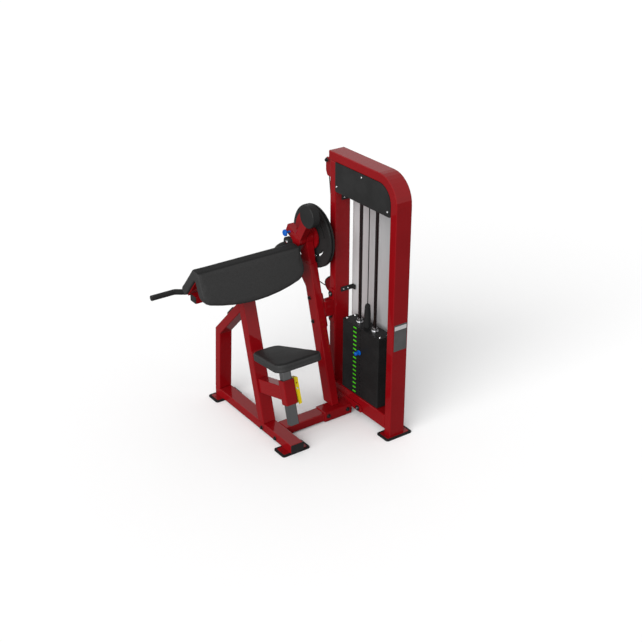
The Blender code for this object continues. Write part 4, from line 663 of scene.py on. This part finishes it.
for name, (seat, facing) in FRAME_BOLTS.items():
    turned(name, FRAME_BOLT, at(*seat), facing, BLACK, "frame")
for name, seat in RING_BOLTS.items():
    turned(name + "_ring", BOLT_RING, at(*seat), LEFT, BLACK, "frame")
    turned(name, RING_BOLT, at(*seat) + LEFT * RING_FLOOR, LEFT, BRIGHT,
           "frame")
print("frame bolts:", len(FRAME_BOLTS) + len(RING_BOLTS))

# %% [markdown]
# ## Screws of the cover, the shroud and the top plate
# Thin sheets are held by small button screws: three through the cover, and
# two through each tab of the shroud. The top weight plate has four low chrome
# heads, which ride with the stack.

# %% Sheet screws
COVER_SCREW = button_screw(radius=6.5, height=3.4)
COVER_SCREWS = {
    "cover_screw_top": (-3, 291, 1431),
    "cover_screw_far": (-3, 508, 1316),
    "cover_screw_near": (-3, 70, 1313),
}
TAB_SCREW = button_screw(radius=4.5, height=2.6)
TAB_HEIGHTS = {"lower": 699, "upper": 1244}
TAB_SCREW_XS = (56, 86)
TAB_FACE = 516.4
HEAD_BOLT = button_screw(radius=7, height=5)
HEAD_BOLTS = [(x, y) for x in (23, 77) for y in (137, 434)]
HEAD_PLATE_TOP = 561.4

for name, seat in COVER_SCREWS.items():
    turned(name, COVER_SCREW, at(*seat), LEFT, BRIGHT, "frame")
for tab, height in TAB_HEIGHTS.items():
    for x in TAB_SCREW_XS:
        turned(f"{tab}_tab_screw_{x}", TAB_SCREW, at(x, TAB_FACE, height),
               NEAR, BRIGHT, "frame")
for x, y in HEAD_BOLTS:
    turned(f"head_bolt_{x}_{y}", HEAD_BOLT, at(x, y, HEAD_PLATE_TOP), UP,
           MIRROR, "stack")
print("cover screws:", len(COVER_SCREWS), "head bolts:", len(HEAD_BOLTS))

# %% [markdown]
# ## Fasteners on the moving pieces
# The bar is held to its arm by a screw on a washer, with a red dot on the
# screw. The cam has one bright bolt. The seat's lever leans, so its screw and
# the plug over its pivot face along the lean. Each fastener rides on the body
# that it is screwed to.

# %% Moving fasteners
BOSS_FACE = at(-187.3, 715, 971)
BOSS_DOT = [(4.6, 0), (4.6, 1.2), (3.6, 1.8)]
BOSS_DOT_LIFT = 0.0042
CAM_BOLT_SEAT = at(-64.8, 612, 897)
LEVER_LEAN = math.radians(15)
LEVER_FACING = Vector((0, -math.cos(LEVER_LEAN), math.sin(LEVER_LEAN)))
LEVER_SCREW_SEAT = at(-444, 243.6, 356.8)
LEVER_PLUG = [(5.6, 0), (5.6, 0.5), (4.8, 0.9)]
LEVER_PLUG_SEAT = at(-444, 251.4, 385.8)

turned("bar_boss_washer", plain_washer(radius=14, thick=2.4, hole=8),
       BOSS_FACE, LEFT, MIRROR, "arm")
turned("bar_boss_screw", button_screw(radius=8.5, height=5),
       BOSS_FACE, LEFT, BRIGHT, "arm")
turned("bar_boss_dot", BOSS_DOT, BOSS_FACE + LEFT * BOSS_DOT_LIFT, LEFT,
       RED, "arm")
turned("cam_bolt", flanged_bolt(flange=8.5, flats=5.4, height=7.5),
       CAM_BOLT_SEAT, LEFT, MIRROR, "cam")
turned("lever_screw", button_screw(radius=6.2, height=3.6),
       LEVER_SCREW_SEAT, LEVER_FACING, BRIGHT, "lever")
turned("lever_pivot_plug", LEVER_PLUG, LEVER_PLUG_SEAT, LEVER_FACING,
       YELLOW, "lever")
print("fasteners on the arm, the cam and the lever: 6")

# %% [markdown]
# ## Collar screws
# Two screws belong to each guide rod's collar. The collars slide with the top
# plate, so their screws ride with the stack, and they start at the height of
# the collar's own foot, which is read from the solid.

# %% Collar screws
COLLAR_SCREW = button_screw(radius=4.2, height=9)
ROD_X = 50
ROD_YS = {"near": 217, "far": 354}
COLLAR_SCREW_OFFSETS = {"a": -16, "b": 16}

for rod_name, y in ROD_YS.items():
    collar_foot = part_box(f"{rod_name}_rod_collar")[0].z * MM_IN_METRE
    for side, offset in COLLAR_SCREW_OFFSETS.items():
        turned(f"{rod_name}_collar_screw_{side}", COLLAR_SCREW,
               at(ROD_X + offset, y, collar_foot), UP, MIRROR, "stack")
print("collar screws:", len(ROD_YS) * len(COLLAR_SCREW_OFFSETS))

# %% [markdown]
# ## A thin chip with round corners
# The marks and the placard are thin sheets. Each one is cut from the plane in
# which its box is flattest: the outline goes round the four corners in short
# steps, and two copies of it, a hair apart, are joined by a wall.

# %% Chips
CORNER_STEPS = 5


def chip_outline(low, high, across, corner):
    """The points round a chip's face, from its upper outer corner."""
    u0, u1, v0, v1 = low[across], high[across], low[2], high[2]
    outline = []
    for quarter, (u, v) in enumerate((
        (u1 - corner, v1 - corner), (u0 + corner, v1 - corner),
        (u0 + corner, v0 + corner), (u1 - corner, v0 + corner),
    )):
        for step in range(CORNER_STEPS + 1):
            angle = math.pi / 2 * (quarter + step / CORNER_STEPS)
            outline.append(
                (u + corner * math.cos(angle), v + corner * math.sin(angle))
            )
    return outline


def chip(name, low, high, corner, material, body):
    """A thin sheet with round corners that fills a box given in mm."""
    thin = min((0, 1), key=lambda axis: high[axis] - low[axis])
    across = 1 - thin
    outline = chip_outline(low, high, across, corner)
    form = bmesh.new()
    sides = []
    for depth in (low[thin], high[thin]):
        spots = []
        for u, v in outline:
            spot = [0, 0, v]
            spot[thin], spot[across] = depth, u
            spots.append(form.verts.new(at(*spot)))
        sides.append(spots)
        form.faces.new(spots)
    for step in range(len(outline)):
        after = (step + 1) % len(outline)
        form.faces.new((sides[0][step], sides[0][after],
                        sides[1][after], sides[1][step]))
    finished(name, form, material, body)


print("steps round each corner of a chip:", CORNER_STEPS)

# %% [markdown]
# ## Plate marks and placard
# On the open side, a short bright green mark stands beside the pin hole of
# every plate, so that a user can see the plates from the seat. Those on the
# lifted plates must ride with the stack, and the others stay on the frame.
# The near upright carries a placard: a grey sheet with a pale band.

# %% Marks and placard
PLATES = 16
FIRST_RESTING = 7
PLATE_PITCH = 26.7
LOWEST_MARK = 147.95
MARK_XS = (1.4, 2.1)
MARK_YS = (319, 347)
MARK_HALF = 4
MARK_CORNER = 1.2

for plate in range(1, PLATES + 1):
    level = LOWEST_MARK + (PLATES - plate) * PLATE_PITCH
    chip(f"plate_mark_{plate}",
         (MARK_XS[0], MARK_YS[0], level - MARK_HALF),
         (MARK_XS[1], MARK_YS[1], level + MARK_HALF),
         MARK_CORNER, green_paint,
         "frame" if plate >= FIRST_RESTING else "stack")

PLACARD_SKIN = {"grain": 500, "depth": 0.00002}
placard_grey = grained(
    "placard_grey", grey(0.075), roughness=0.45, **PLACARD_SKIN
)
placard_pale = grained(
    "placard_pale", grey(0.48), roughness=0.40, **PLACARD_SKIN
)
chip("placard", (9, -0.9, 539), (93, -0.1, 695), 2.5, placard_grey, "frame")
chip("placard_band", (11.5, -1.2, 663), (90.5, -0.8, 686), 1.0,
     placard_pale, "frame")
print("plate marks:", PLATES, "placard: 1")

# %% [markdown]
# ## The cable above the stack
# When the stack rises, its cable runs over the pulley and the straight
# stretch above the boot gets shorter. The solid is swapped for a round tube
# of the same size, with a mesh of its own, which stays on the frame. A
# rigid solid can't show that.

# %% Stack cable
CABLE_SIDES = 14
CABLE_RINGS = 60


def round_tube(form, low, high):
    """Rings of a round tube that fills an upright box."""
    middle = (low + high) / 2
    radius = (high.x - low.x) / 2
    rings = []
    for step in range(CABLE_RINGS + 1):
        height = low.z + (high.z - low.z) * step / CABLE_RINGS
        rings.append([
            form.verts.new((
                middle.x + radius * math.cos(math.tau * side / CABLE_SIDES),
                middle.y + radius * math.sin(math.tau * side / CABLE_SIDES),
                height,
            ))
            for side in range(CABLE_SIDES)
        ])
    return rings


cable_low, cable_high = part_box("cable_stack_stretch")
cable_form = bmesh.new()
joined(cable_form, round_tube(cable_form, cable_low, cable_high))
stack_cable = finished(
    "stack_cable", cable_form, cable_jacket, "frame"
)
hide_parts("cable_stack_stretch")
lift = next(j for j in frame["joints"] if j["name"] == "stack_lift")
travel = lift["range_m"][1]
stretch = cable_high.z - cable_low.z
(stretch - travel) / stretch
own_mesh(stack_cable)
print("cable above the stack:", round(stretch, 3), "m")

# %% [markdown]
# ## Stuffing by cloth
# The arm pad and the seat are foam on a board under stretched vinyl. Their
# solids have the right outline but are as flat as wood. Foam bulges a little
# in the middle of each face and is held in at the edges. Cloth simulation
# finds that shape by itself when the skin is blown up from inside, with
# gravity off. The simulation is read at its last frame and then removed, so
# that only its shape is left.

# %% Cloth
BLOW_FRAMES = 20
PRESSURE = 4.0
CLOTH = {
    "quality": 4, "mass": 0.3, "tension_stiffness": 18,
    "compression_stiffness": 18, "bending_stiffness": 1.5,
    "use_pressure": True, "uniform_pressure_force": PRESSURE,
}


def applied(piece):
    """Swaps the piece's mesh for what its modifiers make of it."""
    graph = bpy.context.evaluated_depsgraph_get()
    shaped = bpy.data.meshes.new_from_object(piece.evaluated_get(graph))
    piece.modifiers.clear()
    piece.data = shaped


def blown(piece):
    """Runs the cloth and gives where each point of the skin went."""
    cloth = piece.modifiers.new("stuffing", "CLOTH").settings
    for name, value in CLOTH.items():
        setattr(cloth, name, value)
    cloth.effector_weights.gravity = 0
    for number in range(1, BLOW_FRAMES + 1):
        bpy.context.scene.frame_set(number)
    graph = bpy.context.evaluated_depsgraph_get()
    skin = piece.evaluated_get(graph).data
    spots = [vertex.co.copy() for vertex in skin.vertices]
    piece.modifiers.clear()
    bpy.context.scene.frame_set(1)
    return spots


print("frames of cloth:", BLOW_FRAMES)

# %% [markdown]
# ## Stuffed cushions
# The skin is remeshed into small even cells, drawn in a little, and then
# blown up. How far each point may move is capped, and least on the side that
# rests on the board. Foam pads like these are firm, so the caps are small. A
# light smoothing and one subdivision then give an even, rounded skin.

# %% Cushions
CELL = 0.0058
WELD = 0.00002
DRAWN_IN = 0.0008
REST_SIDE, FREE_SIDE = -0.15, 0.35
LEAST_SHARE = 0.1


def even_skin(name, node):
    """A copy of a solid, remeshed into small even cells."""
    form = bmesh.new()
    form.from_mesh(frame["nodes"][node].data)
    bmesh.ops.remove_doubles(form, verts=form.verts, dist=WELD)
    piece = stood(name, form)
    remesh = piece.modifiers.new("even cells", "REMESH")
    remesh.mode = "VOXEL"
    remesh.voxel_size = CELL
    applied(piece)
    return piece


def free_share(vertex):
    """How free a point is: 1 on the open side, least against the board."""
    share = (vertex.normal.z - REST_SIDE) / (FREE_SIDE - REST_SIDE)
    return min(1.0, max(LEAST_SHARE, share))


def stuff(piece, cap):
    """Draws the skin in, blows it up and gives the furthest move."""
    skin = piece.data
    start = [v.co - v.normal * DRAWN_IN for v in skin.vertices]
    shares = [free_share(vertex) for vertex in skin.vertices]
    for vertex, spot in zip(skin.vertices, start):
        vertex.co = spot
    furthest = 0.0
    for vertex, spot, share in zip(skin.vertices, blown(piece), shares):
        move = spot - vertex.co
        if move.length > cap * share:
            move *= cap * share / move.length
        furthest = max(furthest, move.length)
        vertex.co += move
    return furthest


def cushion(name, node, body, cap):
    """A stuffed copy of a solid, which then stands for it."""
    piece = even_skin(name, node)
    moved = stuff(piece, cap)
    smooth = piece.modifiers.new("settled", "SMOOTH")
    smooth.factor = 0.5
    smooth.iterations = 1
    piece.modifiers.new("finer", "SUBSURF").levels = 1
    applied(piece)
    for face in piece.data.polygons:
        face.use_smooth = True
    dress(piece, black_vinyl)
    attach(piece, body)
    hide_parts(node)
    print(name, len(piece.data.vertices), "points, moved", round(moved, 4))


cushion("arm_cushion", "arm_pad", "frame", cap=0.0022)
cushion("seat_pad", "seat_cushion", "seat", cap=0.0024)

# %% [markdown]
# ## Camera
# The photograph was taken from a little under thirty degrees above the
# horizon, with a long lens. A long lens from far away keeps the uprights
# nearly parallel, and a short one from nearby would not.

# %% Camera
CAMERA_LENS = 64.65
CAMERA_PLACE = (-2.990, -4.656, 3.444)
LOOKING_DOWN = 26.83
TURNED = -35.11

camera_data = bpy.data.cameras.new("camera")
camera_data.lens = CAMERA_LENS
camera_data.sensor_width = 36
camera_data.clip_end = 60
camera = bpy.data.objects.new("camera", camera_data)
camera.location = CAMERA_PLACE
camera.rotation_euler = (
    math.radians(90 - LOOKING_DOWN), 0, math.radians(TURNED)
)
bpy.context.scene.collection.objects.link(camera)
bpy.context.scene.camera = camera
bpy.context.scene.view_settings.view_transform = "Standard"
print("camera at", CAMERA_PLACE, "with lens", CAMERA_LENS)

# %% [markdown]
# ## A pale floor
# The floor is pale, with a painted shade that makes it a touch darker round
# the feet, and it melts into a white background further away. So what the
# camera sees of it is nearly white, and whiter with distance. The light that
# bounces off it to the machine must be weaker, or the undersides would glow,
# so for those rays it is a darker grey.
# A mirror gets a small share of the pale floor, and the grey for the rest.

# %% Floor
FLOOR_REACH = 14.0
FLOOR_DROP = 0.0004
FLOOR_NEAR, FLOOR_FAR = 0.985, 1.0
FLOOR_FADE = (0.6, 4.5)
FLOOR_PLAIN = 0.26
FLOOR_MOTTLE = 0.01
MOTTLE_SCALE = 1.3
MIRROR_SHARE = 0.06


def seen_rays(owner, mirrors):
    """1 for rays from the camera or through glass, a share for mirrors."""
    camera_ray = owner.node("ShaderNodeLightPath", output="Is Camera Ray")
    mirror_ray = owner.node("ShaderNodeLightPath", output="Is Glossy Ray")
    glass_ray = owner.node("ShaderNodeLightPath", output="Is Transmission Ray")
    direct = camera_ray.maths("MAXIMUM", camera_ray, glass_ray)
    return direct.maths("MAXIMUM", direct, mirror_ray * mirrors)


def floor_skin():
    skin = Finish("floor", roughness=0.9, specular_ior_level=0.0)
    plain = skin.mix(
        skin.noise(MOTTLE_SCALE, 3),
        grey(FLOOR_PLAIN - FLOOR_MOTTLE), grey(FLOOR_PLAIN + FLOOR_MOTTLE),
    )
    away = skin.node(
        "ShaderNodeVectorMath", {"operation": "LENGTH"}, {0: skin.place()},
        "Value",
    ).band(*FLOOR_FADE)
    # A painted shade: the floor is a touch darker near the middle, round the feet.
    pale = skin.mix(away, grey(FLOOR_NEAR), grey(FLOOR_FAR))
    seen = seen_rays(skin, MIRROR_SHARE)
    skin.surface(base_color=skin.mix(seen, plain, pale))
    return skin.material


floor_form = bmesh.new()
bmesh.ops.create_grid(floor_form, x_segments=2, y_segments=2, size=FLOOR_REACH)
floor = stood("floor", floor_form)
floor.location.z = -FLOOR_DROP
dress(floor, floor_skin())
print("floor reaches", FLOOR_REACH, "m each way")

# %% [markdown]
# ## The sky of the studio
# For rays that the camera, a mirror or glass sends out, the world is plain
# white. For the light that falls on the paint it is dimmer, so that colours
# come out about as they are written.

# %% World
AMBIENT = 0.60


class Studio(Finish):
    """The world's nodes, built with the same method as a finish."""

    def __init__(self, tree):
        self.tree = tree


world = bpy.data.worlds.new("studio")
bpy.context.scene.world = world
world.use_nodes = True
studio = Studio(world.node_tree)
backdrop = world.node_tree.nodes["Background"]
seen = seen_rays(studio, 1.0)
studio.feed(backdrop, {
    "Color": grey(1.0),
    "Strength": seen + (1 - seen) * AMBIENT,
})
print("even sky, dimmed to", AMBIENT, "for the paint")

# %% [markdown]
# ## One soft window
# A single large light from the left, behind the camera, gives the shadows
# their side and the tubes their brighter faces. It is a sun with a very wide
# angle, so that its shadows have edges as soft as those of a window.

# %% Window light
WINDOW_STRENGTH = 3.5
WINDOW_WIDTH = 60
WINDOW_DIRECTION = Vector((0.84, 0.44, -0.40))

sun_data = bpy.data.lights.new("window", "SUN")
sun_data.energy = WINDOW_STRENGTH
sun_data.angle = math.radians(WINDOW_WIDTH)
sun = bpy.data.objects.new("window", sun_data)
sun.rotation_euler = WINDOW_DIRECTION.to_track_quat("-Z", "Y").to_euler()
bpy.context.scene.collection.objects.link(sun)
print("one soft window,", WINDOW_WIDTH, "degrees wide")
